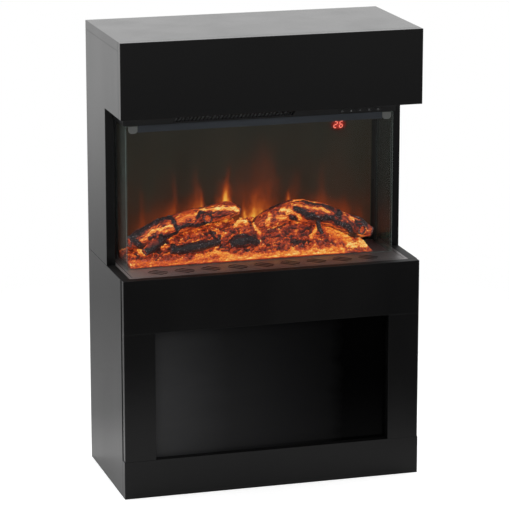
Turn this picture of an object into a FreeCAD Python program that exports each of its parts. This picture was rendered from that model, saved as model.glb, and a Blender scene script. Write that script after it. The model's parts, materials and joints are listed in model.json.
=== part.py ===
"""Free-standing electric fireplace: a board cabinet with a three-sided glass fire insert.

Millimetres. +X is to the right when facing the object, the front faces -Y and +Z is up.
The origin is the centre of the footprint, on the floor.
"""
import FreeCAD, Part
import os

V = FreeCAD.Vector
X_AXIS = V(1, 0, 0)
Y_AXIS = V(0, 1, 0)
Z_AXIS = V(0, 0, 1)

# ---------------------------------------------------------------- cabinet, driving sizes
WIDTH = 750.0
DEPTH = 355.0
HEIGHT = 1120.0
BOARD = 22.0            # thickness of every cabinet board
ARRIS = 0.8             # rounding on board edges
PLINTH_TOP = 94.0
NICHE_TOP = 413.0       # underside of the lower fascia
LEDGE = 546.0           # top of the lower box, where the fire stands
MANTEL_BOTTOM = 936.0   # underside of the upper box
NOTCH_DEPTH = 161.0     # how far back the sides are open beside the glass, from the front
STILE_WIDTH = 79.0
FRONT_INSET = 1.5       # lower fascia and stiles stop this far inside the plinth's ends
DECOR_THICKNESS = 4.0
DECOR_LAP = 22.0        # decor panel reaches this far behind the boards round it
THIN_BACK = 3.0
FLOOR_GAP = 30.0        # bottom board's height above the floor
RAIL_HEIGHT = 80.0
WALL_HOLE_SPACING = 500.0
WALL_HOLE_RADIUS = 3.0

FRONT = -DEPTH / 2
BACK = DEPTH / 2
OUTER_X = WIDTH / 2
INNER_X = OUTER_X - BOARD
BEHIND_FRONT = FRONT + BOARD

# ---------------------------------------------------------------- fire insert, driving sizes
SHEET = 1.0             # sheet steel
PAN_HEIGHT = 25.0       # the base pan's rim is level with the ledge
PAN_HALF = INNER_X - 0.5
PAN_FRONT = BEHIND_FRONT + 0.5
RIM_SIDE = 8.0
RIM_FRONT = 9.5
TRAY_GAP = 1.5          # open line between the rim and the tray
CASE_BACK = 150.0       # rear face of the steel case
GLASS = 4.0
GLASS_HALF = 338.0      # half of the front pane's width
GLASS_FRONT = FRONT + 106.0
GLASS_TOP = 899.0
SIDE_PANE_BACK = 48.0
SCREEN_FRONT = FRONT + 264.0
SCREEN = 3.0
CASE_TOP = 1000.0
CASE_HALF = 344.0
SHELF_TOP = LEDGE - PAN_HEIGHT

VENT_COUNT = 9
VENT_PITCH = 66.8
VENT_RADIUS = 24.5
VENT_ROW = FRONT + 66.0
VENT_SHIFT = -4.0       # the row is a little left of centre
VENT_ANGLE = -43.0
VENT_BAR = 6.6
VENT_BAR_PITCH = 13.0

OUTLET_LEFT = -222.0    # lower left corner of the warm air outlet
OUTLET_LENGTH = 303.5
OUTLET_BOTTOM = 903.0
OUTLET_HEIGHT = 30.0
OUTLET_LEAN = 0.65      # sideways step of the slanted ends and fins per unit height
FIN_PITCH = 9.3
FIN = 2.6

BUTTON_X = (206.0, 229.0, 252.0, 275.0, 298.0)
BUTTON_Z = 907.5
BUTTON_SIZE = (15.0, 7.0)
BUTTON_CLEARANCE = 0.35
BUTTON_PROUD = 1.3

DISPLAY_X = 248.0
DISPLAY_Z = 841.0
DISPLAY_SIZE = (34.0, 24.0)

ROTOR_Y = 118.0
ROTOR_Z = 602.0
ROTOR_SHAFT = 2.5
RUNNING_CLEARANCE = 0.05

BLOWER_Y = 10.0
BLOWER_Z = 947.0
BLOWER_SHAFT = 3.0
WHEEL_RADIUS = 23.0
DUCT_LEFT = -238.0
DUCT_RIGHT = 108.0

GLAND_X = 290.0
GLAND_Z = 585.0
SWITCH_Z = 650.0
ROCKER_TILT = 8.0


# ---------------------------------------------------------------- shared shapes
def box(x0, x1, y0, y1, z0, z1):
    """Box between two corners."""
    return Part.makeBox(x1 - x0, y1 - y0, z1 - z0, V(x0, y0, z0))


def rounded_box(x0, x1, y0, y1, z0, z1, radius):
    """Box with every edge rounded."""
    blank = box(x0, x1, y0, y1, z0, z1)
    return blank.makeFillet(radius, blank.Edges)


def board(x0, x1, y0, y1, z0, z1):
    """Cabinet board with eased arrises."""
    return rounded_box(x0, x1, y0, y1, z0, z1, ARRIS)


def rod(radius, start, axis, length):
    """Cylinder from a start point along an axis."""
    return Part.makeCylinder(radius, length, start, axis)


def prism_x(outline, x0, x1):
    """Extrude a closed outline of (y, z) points along X."""
    corners = [V(x0, y, z) for y, z in outline]
    return Part.Face(Part.makePolygon(corners + corners[:1])).extrude(V(x1 - x0, 0, 0))


def prism_y(outline, y0, y1):
    """Extrude a closed outline of (x, z) points along Y."""
    corners = [V(x, y0, z) for x, z in outline]
    return Part.Face(Part.makePolygon(corners + corners[:1])).extrude(V(0, y1 - y0, 0))


def mirrored(shape):
    """The same piece on the other side of the object."""
    return shape.mirror(V(0, 0, 0), X_AXIS)


def cut_all(shape, tools):
    """Cut a list of tools out of a shape."""
    return shape.cut(Part.makeCompound(tools))


def fuse_all(shapes):
    """Fuse a list of overlapping or touching shapes into one solid."""
    return shapes[0].multiFuse(shapes[1:]).removeSplitter()


def pan_screw(seat, outward, head_radius, length):
    """Pan-head screw with a cross recess, its head standing outward from its seat."""
    height = 0.7 * head_radius
    crown = V(0, 0, height)
    head = rod(head_radius, V(0, 0, 0), Z_AXIS, height)
    rim = [edge for edge in head.Edges if edge.CenterOfMass.distanceToPoint(crown) < 1e-6]
    head = head.makeFillet(0.6 * height, rim)
    screw = head.fuse(rod(0.5 * head_radius, V(0, 0, -length), Z_AXIS, length + 0.1))
    long, narrow = 0.7 * head_radius, 0.12 * head_radius
    recess = [box(-long, long, -narrow, narrow, 0.45 * height, height + 1),
              box(-narrow, narrow, -long, long, 0.45 * height, height + 1)]
    screw = cut_all(screw, recess)
    screw.Placement = FreeCAD.Placement(seat, FreeCAD.Rotation(Z_AXIS, outward))
    return screw


# ---------------------------------------------------------------- cabinet boards
def top_board():
    return board(-OUTER_X, OUTER_X, BEHIND_FRONT, BACK, HEIGHT - BOARD, HEIGHT)


def upper_fascia():
    return board(-OUTER_X, OUTER_X, FRONT, BEHIND_FRONT, MANTEL_BOTTOM, HEIGHT)


def left_side_panel():
    """Side board, open at the front between the ledge and the mantel."""
    notch_back = FRONT + NOTCH_DEPTH
    top = HEIGHT - BOARD
    outline = [(BEHIND_FRONT, 0), (BACK, 0), (BACK, top), (BEHIND_FRONT, top),
               (BEHIND_FRONT, MANTEL_BOTTOM), (notch_back, MANTEL_BOTTOM),
               (notch_back, LEDGE), (BEHIND_FRONT, LEDGE)]
    panel = prism_x(outline, -OUTER_X, -INNER_X)
    return panel.makeFillet(ARRIS, panel.Edges)


def right_side_panel():
    return mirrored(left_side_panel())


def mantel_soffit():
    """Board that closes the underside of the mantel in front of the insert."""
    return board(-INNER_X, INNER_X, BEHIND_FRONT, GLASS_FRONT - 3, MANTEL_BOTTOM, MANTEL_BOTTOM + BOARD)


def lower_fascia():
    half = OUTER_X - FRONT_INSET
    return board(-half, half, FRONT, BEHIND_FRONT, NICHE_TOP, LEDGE)


def left_stile():
    edge = -OUTER_X + FRONT_INSET
    return board(edge, -OUTER_X + STILE_WIDTH, FRONT, BEHIND_FRONT, PLINTH_TOP, NICHE_TOP)


def right_stile():
    return mirrored(left_stile())


def plinth_board():
    return board(-OUTER_X, OUTER_X, FRONT, BEHIND_FRONT, 0, PLINTH_TOP)


def decor_panel():
    """Gloss panel set back behind the front boards and screwed to them."""
    half = OUTER_X - STILE_WIDTH + DECOR_LAP
    return rounded_box(-half, half, BEHIND_FRONT, BEHIND_FRONT + DECOR_THICKNESS,
                       PLINTH_TOP - DECOR_LAP, NICHE_TOP + DECOR_LAP, 0.5)


def firebox_shelf():
    """Board that carries the fire insert."""
    return board(-INNER_X, INNER_X, BEHIND_FRONT, BACK, SHELF_TOP - BOARD, SHELF_TOP)


def bottom_board():
    return board(-INNER_X, INNER_X, BEHIND_FRONT, BACK, FLOOR_GAP, FLOOR_GAP + BOARD)


def rear_foot_rail():
    """Rail under the rear of the bottom board, down to the floor."""
    return board(-INNER_X, INNER_X, BACK - 2 * BOARD, BACK - BOARD, 0, FLOOR_GAP)


def upper_back_rail():
    """Rear rail under the top, with two holes for the screws that stop the cabinet tipping."""
    top = HEIGHT - BOARD
    rail = board(-INNER_X, INNER_X, BACK - BOARD, BACK, top - RAIL_HEIGHT, top)
    middle = top - RAIL_HEIGHT / 2
    holes = [rod(WALL_HOLE_RADIUS, V(side * WALL_HOLE_SPACING / 2, BACK - BOARD - 1, middle), Y_AXIS, BOARD + 2)
             for side in (-1, 1)]
    return cut_all(rail, holes)


def lower_back_panel():
    """Thin hardboard behind the lower box."""
    rear = BACK - 8
    return box(-INNER_X, INNER_X, rear - THIN_BACK, rear, FLOOR_GAP + BOARD, SHELF_TOP - BOARD)


BRACKET_LEG = 28.0
BRACKET_WIDTH = 24.0
BRACKET_SHEET = 2.0
BRACKET_ROWS = (-110.0, 120.0)


def bracket_places():
    """Corner of each angle bracket on the left side: depth, height and up or down."""
    heights = [(HEIGHT - BOARD, -1), (SHELF_TOP - BOARD, -1), (FLOOR_GAP + BOARD, 1)]
    return [(y, z, way) for y in BRACKET_ROWS for z, way in heights]


def bracket(y, z, way):
    """Steel angle in the corner between the left side panel and a level board."""
    y0, y1 = y - BRACKET_WIDTH / 2, y + BRACKET_WIDTH / 2
    low, high = sorted((z, z + way * BRACKET_LEG))
    leg = box(-INNER_X, -INNER_X + BRACKET_SHEET, y0, y1, low, high)
    low, high = sorted((z, z + way * BRACKET_SHEET))
    return leg.fuse(box(-INNER_X, -INNER_X + BRACKET_LEG, y0, y1, low, high)).removeSplitter()


def corner_brackets():
    left = [bracket(*place) for place in bracket_places()]
    return Part.makeCompound(left + [mirrored(shape) for shape in left])


def cabinet_screws():
    """Two screws in each angle bracket: one into the side, one into the level board."""
    left = []
    for y, z, way in bracket_places():
        reach = 0.62 * BRACKET_LEG
        left.append(pan_screw(V(-INNER_X + BRACKET_SHEET, y, z + way * reach), X_AXIS, 4.0, 14))
        left.append(pan_screw(V(-INNER_X + reach, y, z + way * BRACKET_SHEET), Z_AXIS * way, 4.0, 14))
    return Part.makeCompound(left + [mirrored(shape) for shape in left])


# ---------------------------------------------------------------- insert casing
def base_pan():
    """Sheet steel pan on the shelf, with an inward rim on three sides level with the ledge."""
    outer = box(-PAN_HALF, PAN_HALF, PAN_FRONT, CASE_BACK, SHELF_TOP, LEDGE)
    hollow = box(-PAN_HALF + SHEET, PAN_HALF - SHEET, PAN_FRONT + SHEET, CASE_BACK - SHEET,
                 SHELF_TOP + SHEET, LEDGE - SHEET)
    half = PAN_HALF - RIM_SIDE
    mouth = box(-half, half, PAN_FRONT + RIM_FRONT, CASE_BACK - SHEET, SHELF_TOP + SHEET, LEDGE + SHEET)
    return outer.cut(hollow).cut(mouth)


TRAY_HALF = PAN_HALF - RIM_SIDE - TRAY_GAP
TRAY_FRONT = PAN_FRONT + RIM_FRONT + TRAY_GAP
TRAY_BACK = 62.0
LIGHT_WINDOW = (300.0, 42.0)    # half length and half depth of the opening under the ember bed


def vent_cutter():
    """Three slanted slits in a round outline."""
    bars = []
    for row in (-1, 0, 1):
        offset = row * VENT_BAR_PITCH
        bars.append(box(-30, 30, offset - VENT_BAR / 2, offset + VENT_BAR / 2, -2, 2))
    slits = Part.makeCompound(bars)
    slits.rotate(V(0, 0, 0), Z_AXIS, VENT_ANGLE)
    return slits.common(rod(VENT_RADIUS, V(0, 0, -2), Z_AXIS, 4))


def tray_panel():
    """Vented steel tray: the ledge in front of the glass and the floor of the fire."""
    tray = box(-TRAY_HALF, TRAY_HALF, TRAY_FRONT, TRAY_BACK, SHELF_TOP + SHEET, LEDGE)
    under = box(-TRAY_HALF + SHEET, TRAY_HALF - SHEET, TRAY_FRONT + SHEET, TRAY_BACK - SHEET,
                SHELF_TOP + SHEET, LEDGE - SHEET)
    window = box(-LIGHT_WINDOW[0], LIGHT_WINDOW[0], -LIGHT_WINDOW[1], LIGHT_WINDOW[1], LEDGE - 5, LEDGE + 5)
    slits = vent_cutter()
    cutters = [under, window]
    for index in range(VENT_COUNT):
        x = VENT_SHIFT + (index - (VENT_COUNT - 1) / 2) * VENT_PITCH
        cutters.append(slits.translated(V(x, VENT_ROW, LEDGE - SHEET / 2)))
    return cut_all(tray, cutters)


FRAME_WALL = GLASS_HALF - 1.0


def left_side_frame():
    """Post that holds the side pane's rear edge, folded on to the case back."""
    wall = box(-FRAME_WALL - SHEET, -FRAME_WALL, SIDE_PANE_BACK, CASE_BACK - SHEET, LEDGE, GLASS_TOP)
    channel = box(-GLASS_HALF - 2.5, -GLASS_HALF + GLASS + 2.5, SIDE_PANE_BACK - 7, SIDE_PANE_BACK + 4,
                  LEDGE, GLASS_TOP)
    groove = box(-GLASS_HALF - 0.3, -GLASS_HALF + GLASS + 0.3, SIDE_PANE_BACK - 8, SIDE_PANE_BACK + 0.3,
                 LEDGE - 1, GLASS_TOP + 1)
    rear_fold = box(-FRAME_WALL, -FRAME_WALL + 14, CASE_BACK - 2 * SHEET, CASE_BACK - SHEET, LEDGE, GLASS_TOP)
    return fuse_all([wall, channel.cut(groove), rear_fold])


def right_side_frame():
    return mirrored(left_side_frame())


def case_back():
    """Rear sheet with cooling louvres, the cable entry and the switch opening."""
    sheet = box(-CASE_HALF, CASE_HALF, CASE_BACK - SHEET, CASE_BACK, LEDGE, CASE_TOP)
    cutters = [rod(6.2, V(GLAND_X, CASE_BACK - 3, GLAND_Z), Y_AXIS, 6),
               box(GLAND_X - 7, GLAND_X + 7, CASE_BACK - 3, CASE_BACK + 3, SWITCH_Z - 11, SWITCH_Z + 11)]
    for row in range(4):
        for column in range(10):
            x = -207 + 46 * column
            z = 925 + 15 * row
            cutters.append(rounded_box(x - 17, x + 17, CASE_BACK - 3, CASE_BACK + 3, z - 2.5, z + 2.5, 2.4))
    return cut_all(sheet, cutters)


CEILING_Z = GLASS_TOP + 1.7


def chamber_ceiling():
    """Sheet between the fire chamber and the heater compartment."""
    return box(-CASE_HALF + SHEET, CASE_HALF - SHEET, GLASS_FRONT + SHEET + 0.2, CASE_BACK - SHEET,
               CEILING_Z, CEILING_Z + SHEET)


def case_top():
    """Hood over the heater compartment: top and two sides from one folded sheet."""
    front = GLASS_FRONT + SHEET
    outer = box(-CASE_HALF, CASE_HALF, front, CASE_BACK - SHEET, CEILING_Z, CASE_TOP)
    inner = box(-CASE_HALF + SHEET, CASE_HALF - SHEET, front - 1, CASE_BACK, CEILING_Z - 1, CASE_TOP - SHEET)
    return outer.cut(inner)


def outlet_outline(margin):
    """Slanted outlet outline as (x, z) points, grown by a margin."""
    low, high = OUTLET_BOTTOM - margin, OUTLET_BOTTOM + OUTLET_HEIGHT + margin
    step_low, step_high = -margin * OUTLET_LEAN, (OUTLET_HEIGHT + margin) * OUTLET_LEAN
    left, right = OUTLET_LEFT - 1.2 * margin, OUTLET_LEFT + OUTLET_LENGTH + 1.2 * margin
    return [(left + step_low, low), (right + step_low, low), (right + step_high, high), (left + step_high, high)]


def header_panel():
    """Black front sheet above the glass, with the warm air outlet and the button holes."""
    sheet = box(-CASE_HALF, CASE_HALF, GLASS_FRONT, GLASS_FRONT + SHEET, CEILING_Z, CASE_TOP)
    half_w = BUTTON_SIZE[0] / 2 + BUTTON_CLEARANCE
    half_h = BUTTON_SIZE[1] / 2 + BUTTON_CLEARANCE
    cutters = [prism_y(outlet_outline(0.2), GLASS_FRONT - 2, GLASS_FRONT + 3)]
    for x in BUTTON_X:
        hole = box(x - half_w, x + half_w, GLASS_FRONT - 2, GLASS_FRONT + 3, BUTTON_Z - half_h, BUTTON_Z + half_h)
        uprights = [edge for edge in hole.Edges if abs(edge.tangentAt(edge.FirstParameter).y) > 0.9]
        cutters.append(hole.makeFillet(2.0, uprights))
    return cut_all(sheet, cutters)


def outlet_grille():
    """Comb of slanted fins in a slanted frame."""
    near, far = GLASS_FRONT - 0.6, GLASS_FRONT + 5.0
    frame = prism_y(outlet_outline(0), near, far).cut(prism_y(outlet_outline(-1.8), near - 1, far + 1))
    fins = [frame]
    lean = OUTLET_HEIGHT * OUTLET_LEAN
    count = int(OUTLET_LENGTH / FIN_PITCH)
    for index in range(1, count):
        x = OUTLET_LEFT + index * OUTLET_LENGTH / count - FIN / 2
        outline = [(x, OUTLET_BOTTOM), (x + FIN, OUTLET_BOTTOM),
                   (x + FIN + lean, OUTLET_BOTTOM + OUTLET_HEIGHT), (x + lean, OUTLET_BOTTOM + OUTLET_HEIGHT)]
        fins.append(prism_y(outline, near, far))
    return fuse_all(fins)


# ---------------------------------------------------------------- glass
RAIL_HALF = 308.5
RAIL_DROP = 15.0
CLIP_X = 320.0
CLIP_SIZE = (22.0, 17.0)


def front_glass():
    return rounded_box(-GLASS_HALF, GLASS_HALF, GLASS_FRONT, GLASS_FRONT + GLASS, LEDGE, GLASS_TOP, 0.5)


def left_side_glass():
    return rounded_box(-GLASS_HALF, -GLASS_HALF + GLASS, GLASS_FRONT + GLASS + 0.2, SIDE_PANE_BACK,
                       LEDGE, GLASS_TOP, 0.5)


def right_side_glass():
    return mirrored(left_side_glass())


def glass_rail():
    """Steel lip over the top edge of the front pane, between the clips."""
    near = GLASS_FRONT - 1.4
    lip = box(-RAIL_HALF, RAIL_HALF, near, GLASS_FRONT, GLASS_TOP - RAIL_DROP, GLASS_TOP + 1.5)
    cap = box(-RAIL_HALF, RAIL_HALF, near, GLASS_FRONT + 6, GLASS_TOP + 0.4, GLASS_TOP + 1.5)
    return lip.fuse(cap).removeSplitter()


def glass_clips():
    """Two clips on the top corners of the front pane, round at their lower ends."""
    clips = []
    for side in (-1, 1):
        x = side * CLIP_X
        plate = box(x - CLIP_SIZE[0] / 2, x + CLIP_SIZE[0] / 2, GLASS_FRONT - 3.5, GLASS_FRONT,
                    GLASS_TOP - CLIP_SIZE[1], GLASS_TOP + 1.2)
        lower = [edge for edge in plate.Edges
                 if abs(edge.tangentAt(edge.FirstParameter).y) > 0.9 and edge.CenterOfMass.z < GLASS_TOP - 10]
        plate = plate.makeFillet(8.0, lower)
        rim = [edge for edge in plate.Edges if abs(edge.CenterOfMass.y - (GLASS_FRONT - 3.5)) < 1e-6]
        clips.append(plate.makeFillet(0.8, rim))
    return Part.makeCompound(clips)


# ---------------------------------------------------------------- fire
LOG_Y = -8.0            # depth of the logs' seats in the ember bed
LEFT_LOG_PATH = [(-316, -20, 604, 13), (-296, -16, 606, 21), (-262, -12, 616, 25), (-196, -4, 637, 23),
                 (-120, 4, 651, 21), (-62, 9, 659, 20), (-36, 11, 657, 11)]
RIGHT_LOG_PATH = [(6, 8, 611, 13), (28, 8, 620, 24), (97, 4, 648, 24), (150, 2, 642, 27),
                  (210, -6, 623, 23), (262, -14, 600, 24), (298, -20, 588, 12)]
FRONT_BRANCH_PATH = [(-226, -44, 582, 11), (-198, -44, 581, 10), (-135, -44, 590, 11), (-90, -40, 587, 6)]
CHARCOAL_PATH = [(-66, -36, 585, 9), (-44, -36, 591, 15), (-22, -34, 590, 16), (2, -32, 581, 8)]


def log_solid(path):
    """Round log through (x, y, z, radius) stations, square to its own line at each."""
    centres = [V(x, y, z) for x, y, z, radius in path]
    rings = []
    for index, centre in enumerate(centres):
        ahead = centres[min(index + 1, len(centres) - 1)]
        behind = centres[max(index - 1, 0)]
        ring = Part.Circle(centre, (ahead - behind).normalize(), path[index][3])
        rings.append(Part.Wire(ring.toShape()))
    return Part.makeLoft(rings, True, False)


def left_log():
    return log_solid(LEFT_LOG_PATH)


def right_log():
    return log_solid(RIGHT_LOG_PATH)


def small_logs():
    """Charred branch and lump of charcoal in front of the main logs."""
    return Part.makeCompound([log_solid(FRONT_BRANCH_PATH), log_solid(CHARCOAL_PATH)])


BED_HALF = 326.0
BED_FRONT = -64.0
BED_BACK = 58.0
BED_STATIONS = [(-1.0, 16), (-0.8, 46), (-0.6, 66), (-0.05, 86), (0.2, 86), (0.5, 72), (0.8, 46), (1.0, 14)]


def ember_bed():
    """Moulded heap of embers, high in the middle, with seats for the logs."""
    sections = []
    for share, height in BED_STATIONS:
        x = share * BED_HALF
        outline = [(BED_FRONT, 0), (BED_FRONT, 5), (BED_FRONT + 20, 0.3 * height), (LOG_Y, 0.9 * height),
                   (BED_BACK - 20, height), (BED_BACK, 0.8 * height), (BED_BACK, 0)]
        corners = [V(x, y, LEDGE + z) for y, z in outline]
        sections.append(Part.makePolygon(corners + corners[:1]))
    heap = Part.makeLoft(sections, True, True)
    return heap.cut(left_log()).cut(right_log()).cut(small_logs())


def flame_screen():
    """Smoked diffuser sheet that shows the flames, with a window for the display."""
    half = FRAME_WALL - 0.5
    sheet = box(-half, half, SCREEN_FRONT, SCREEN_FRONT + SCREEN, LEDGE + 8, GLASS_TOP)
    half_w, half_h = DISPLAY_SIZE[0] / 2 + 0.2, DISPLAY_SIZE[1] / 2 + 0.2
    return sheet.cut(box(DISPLAY_X - half_w, DISPLAY_X + half_w, SCREEN_FRONT - 1, SCREEN_FRONT + SCREEN + 1,
                         DISPLAY_Z - half_h, DISPLAY_Z + half_h))


def display_module():
    """Two-digit display behind the screen, its lens level with the screen's front."""
    half_w, half_h = DISPLAY_SIZE[0] / 2, DISPLAY_SIZE[1] / 2
    lens = box(DISPLAY_X - half_w, DISPLAY_X + half_w, SCREEN_FRONT + 0.4, SCREEN_FRONT + 9,
               DISPLAY_Z - half_h, DISPLAY_Z + half_h)
    board_back = SCREEN_FRONT + SCREEN + 0.2
    circuit = box(DISPLAY_X - half_w - 6, DISPLAY_X + half_w + 6, board_back + 2, board_back + 3.6,
                  DISPLAY_Z - half_h - 5, DISPLAY_Z + half_h + 5)
    return lens.fuse(circuit).removeSplitter()


FOIL_COUNT = 15
FOIL_RADIUS = 20.0
FOIL_LENGTH = 34.0
ROTOR_HALF = 312.0


def flame_rotor():
    """Shaft with flat mirror foils, each turned on from the one before."""
    pieces = [rod(ROTOR_SHAFT, V(-ROTOR_HALF, ROTOR_Y, ROTOR_Z), X_AXIS, 2 * ROTOR_HALF)]
    pitch = (2 * ROTOR_HALF - 60) / FOIL_COUNT
    for index in range(FOIL_COUNT):
        x = -ROTOR_HALF + 30 + index * pitch + (pitch - FOIL_LENGTH) / 2
        foil = box(x, x + FOIL_LENGTH, ROTOR_Y - FOIL_RADIUS, ROTOR_Y + FOIL_RADIUS, ROTOR_Z - 0.3, ROTOR_Z + 0.3)
        foil.rotate(V(x, ROTOR_Y, ROTOR_Z), X_AXIS, 50 * index)
        pieces.append(foil)
    return fuse_all(pieces)


def rotor_motor():
    """Slow synchronous motor with its plate, fixed to the left frame."""
    bore = rod(ROTOR_SHAFT + RUNNING_CLEARANCE, V(-ROTOR_HALF - 1, ROTOR_Y, ROTOR_Z), X_AXIS, 20)
    body = rod(20, V(-FRAME_WALL, ROTOR_Y, ROTOR_Z), X_AXIS, 18)
    boss = rod(6, V(-FRAME_WALL + 18, ROTOR_Y, ROTOR_Z), X_AXIS, 14)
    plate = box(-FRAME_WALL, -FRAME_WALL + 1.5, ROTOR_Y - 12, ROTOR_Y + 12, ROTOR_Z - 30, ROTOR_Z + 30)
    return fuse_all([body, boss, plate]).cut(bore)


def rotor_bush():
    """Plastic bush and its plate at the rotor's right end."""
    reach = FRAME_WALL - ROTOR_HALF + 6
    bore = rod(ROTOR_SHAFT + RUNNING_CLEARANCE, V(ROTOR_HALF - 8, ROTOR_Y, ROTOR_Z), X_AXIS, 9)
    body = rod(6, V(FRAME_WALL - reach, ROTOR_Y, ROTOR_Z), X_AXIS, reach)
    plate = box(FRAME_WALL - 2, FRAME_WALL, ROTOR_Y - 10, ROTOR_Y + 10, ROTOR_Z - 18, ROTOR_Z + 18)
    return fuse_all([body, plate]).cut(bore)


LED_PITCH = 25.0


def led_positions(half):
    """Centres of a row of lamps, evenly spaced."""
    count = int(2 * half / LED_PITCH)
    return [(index - (count - 1) / 2) * LED_PITCH for index in range(count)]


def ember_led_strip():
    """Lamp strip on the pan's floor under the ember bed."""
    low = SHELF_TOP + SHEET
    pieces = [box(-295, 295, -8, 8, low, low + 1.6)]
    for x in led_positions(290):
        pieces.append(box(x - 2.5, x + 2.5, -2.5, 2.5, low + 1.6, low + 3.2))
    return fuse_all(pieces)


def flame_led_strip():
    """Upright lamp strip on an angle behind the screen, shining at the rotor."""
    low = SHELF_TOP + SHEET
    foot = box(-300, 300, 90, 112, low, low + 1.5)
    upright = box(-300, 300, 92, 93.5, low, low + 32)
    circuit = box(-298, 298, 93.5, 94.8, low + 16, low + 31)
    pieces = [foot, upright, circuit]
    for x in led_positions(290):
        pieces.append(box(x - 2.5, x + 2.5, 94.8, 96.4, low + 21, low + 26))
    return fuse_all(pieces)


# ---------------------------------------------------------------- heater
DUCT_MOUTH = GLASS_FRONT + 5.2


def duct_outline(inset):
    """Duct and fan housing in (y, z), drawn in by an inset."""
    low = CEILING_Z + SHEET + inset
    return [(DUCT_MOUTH - 2 * inset, low), (BLOWER_Y + 32 - inset, low),
            (BLOWER_Y + 32 - inset, 990 - inset), (BLOWER_Y - 26 + inset, 990 - inset),
            (BLOWER_Y - 26 + inset, 962 - 0.4 * inset), (BLOWER_Y - 48 + inset, 933 - inset),
            (DUCT_MOUTH - 2 * inset, 933 - inset)]


def heater_duct():
    """Sheet duct from the fan housing to the outlet, open at the mouth and at the air intake."""
    shell = prism_x(duct_outline(0), DUCT_LEFT, DUCT_RIGHT)
    hollow = prism_x(duct_outline(SHEET), DUCT_LEFT + SHEET, DUCT_RIGHT - SHEET)
    intake = box(DUCT_LEFT + 12, DUCT_RIGHT - 12, BLOWER_Y + 28, BLOWER_Y + 36, BLOWER_Z - 4, BLOWER_Z + 34)
    shaft_way = rod(BLOWER_SHAFT + 3, V(DUCT_LEFT - 5, BLOWER_Y, BLOWER_Z), X_AXIS, DUCT_RIGHT - DUCT_LEFT + 10)
    return cut_all(shell, [hollow, intake, shaft_way])


def heating_element():
    """Finned ceramic heating block across the duct."""
    left, right = DUCT_LEFT + 12, DUCT_RIGHT - 12
    near, far = DUCT_MOUTH + 14, DUCT_MOUTH + 32
    low, high = CEILING_Z + 2 * SHEET + 0.8, 931.0
    block = box(left, right, near, far, low, high)
    slots = []
    pitch = 6.0
    for index in range(int((right - left - 12) / pitch)):
        x = left + 8 + index * pitch
        for z0, z1 in ((low + 3, (low + high) / 2 - 2), ((low + high) / 2 + 2, high - 3)):
            slots.append(box(x, x + 3.6, near - 1, far + 1, z0, z1))
    return cut_all(block, slots)


BLADE_COUNT = 20


def blower_wheel():
    """Cross-flow fan wheel with its shaft."""
    left, right = DUCT_LEFT + 8, DUCT_RIGHT - 8
    pieces = [rod(BLOWER_SHAFT, V(DUCT_LEFT - 7, BLOWER_Y, BLOWER_Z), X_AXIS, DUCT_RIGHT - DUCT_LEFT + 32)]
    for x in (left, (left + right) / 2, right - 2):
        pieces.append(rod(WHEEL_RADIUS, V(x, BLOWER_Y, BLOWER_Z), X_AXIS, 2))
    for index in range(BLADE_COUNT):
        blade = box(left + 0.5, right - 0.5, -3.6, 3.6, -0.5, 0.5)
        blade.rotate(V(0, 0, 0), X_AXIS, 35)
        blade.translate(V(0, BLOWER_Y + WHEEL_RADIUS - 4, BLOWER_Z))
        blade.rotate(V(0, BLOWER_Y, BLOWER_Z), X_AXIS, index * 360 / BLADE_COUNT)
        pieces.append(blade)
    return fuse_all(pieces)


def blower_motor():
    """Fan motor on the right end of the duct."""
    body = rod(21, V(DUCT_RIGHT + 3, BLOWER_Y, BLOWER_Z), X_AXIS, 34)
    body = body.makeFillet(3, body.Edges)
    flange = box(DUCT_RIGHT, DUCT_RIGHT + 3, BLOWER_Y - 24, BLOWER_Y + 24, BLOWER_Z - 14, BLOWER_Z + 14)
    bore = rod(BLOWER_SHAFT + RUNNING_CLEARANCE, V(DUCT_RIGHT - 1, BLOWER_Y, BLOWER_Z), X_AXIS, 28)
    return body.fuse(flange).removeSplitter().cut(bore)


def blower_bearing():
    """Bearing cup on the left end of the duct."""
    cup = rod(9, V(DUCT_LEFT - 9, BLOWER_Y, BLOWER_Z), X_AXIS, 9)
    return cup.cut(rod(BLOWER_SHAFT + RUNNING_CLEARANCE, V(DUCT_LEFT - 8, BLOWER_Y, BLOWER_Z), X_AXIS, 9))


def thermal_cutout():
    """Disc thermostat on top of the duct, over the heating block."""
    x, y, z = -120, DUCT_MOUTH + 20, 933
    pieces = [rod(8, V(x, y, z), Z_AXIS, 6), box(x - 14, x + 14, y - 3, y + 3, z, z + 1)]
    for side in (-1, 1):
        pieces.append(box(x + side * 4 - 0.4, x + side * 4 + 0.4, y - 3, y + 3, z + 6, z + 14))
    return fuse_all(pieces)


# ---------------------------------------------------------------- controls and electrics
BOARD_FRONT = GLASS_FRONT + 12.0


def control_board():
    """Circuit board behind the buttons, with one key switch for each."""
    pieces = [box(190, 318, BOARD_FRONT, BOARD_FRONT + 1.6, CEILING_Z + SHEET, 945)]
    for x in BUTTON_X:
        pieces.append(box(x - 3, x + 3, BOARD_FRONT - 3.5, BOARD_FRONT, BUTTON_Z - 3, BUTTON_Z + 3))
        pieces.append(rod(1.6, V(x, BOARD_FRONT - 4.5, BUTTON_Z), Y_AXIS, 2))
    pieces.append(box(225, 241, BOARD_FRONT + 1.6, BOARD_FRONT + 3.4, 915, 931))
    pieces.append(box(272, 296, BOARD_FRONT + 1.6, BOARD_FRONT + 9.6, 926, 938))
    return fuse_all(pieces)


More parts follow.
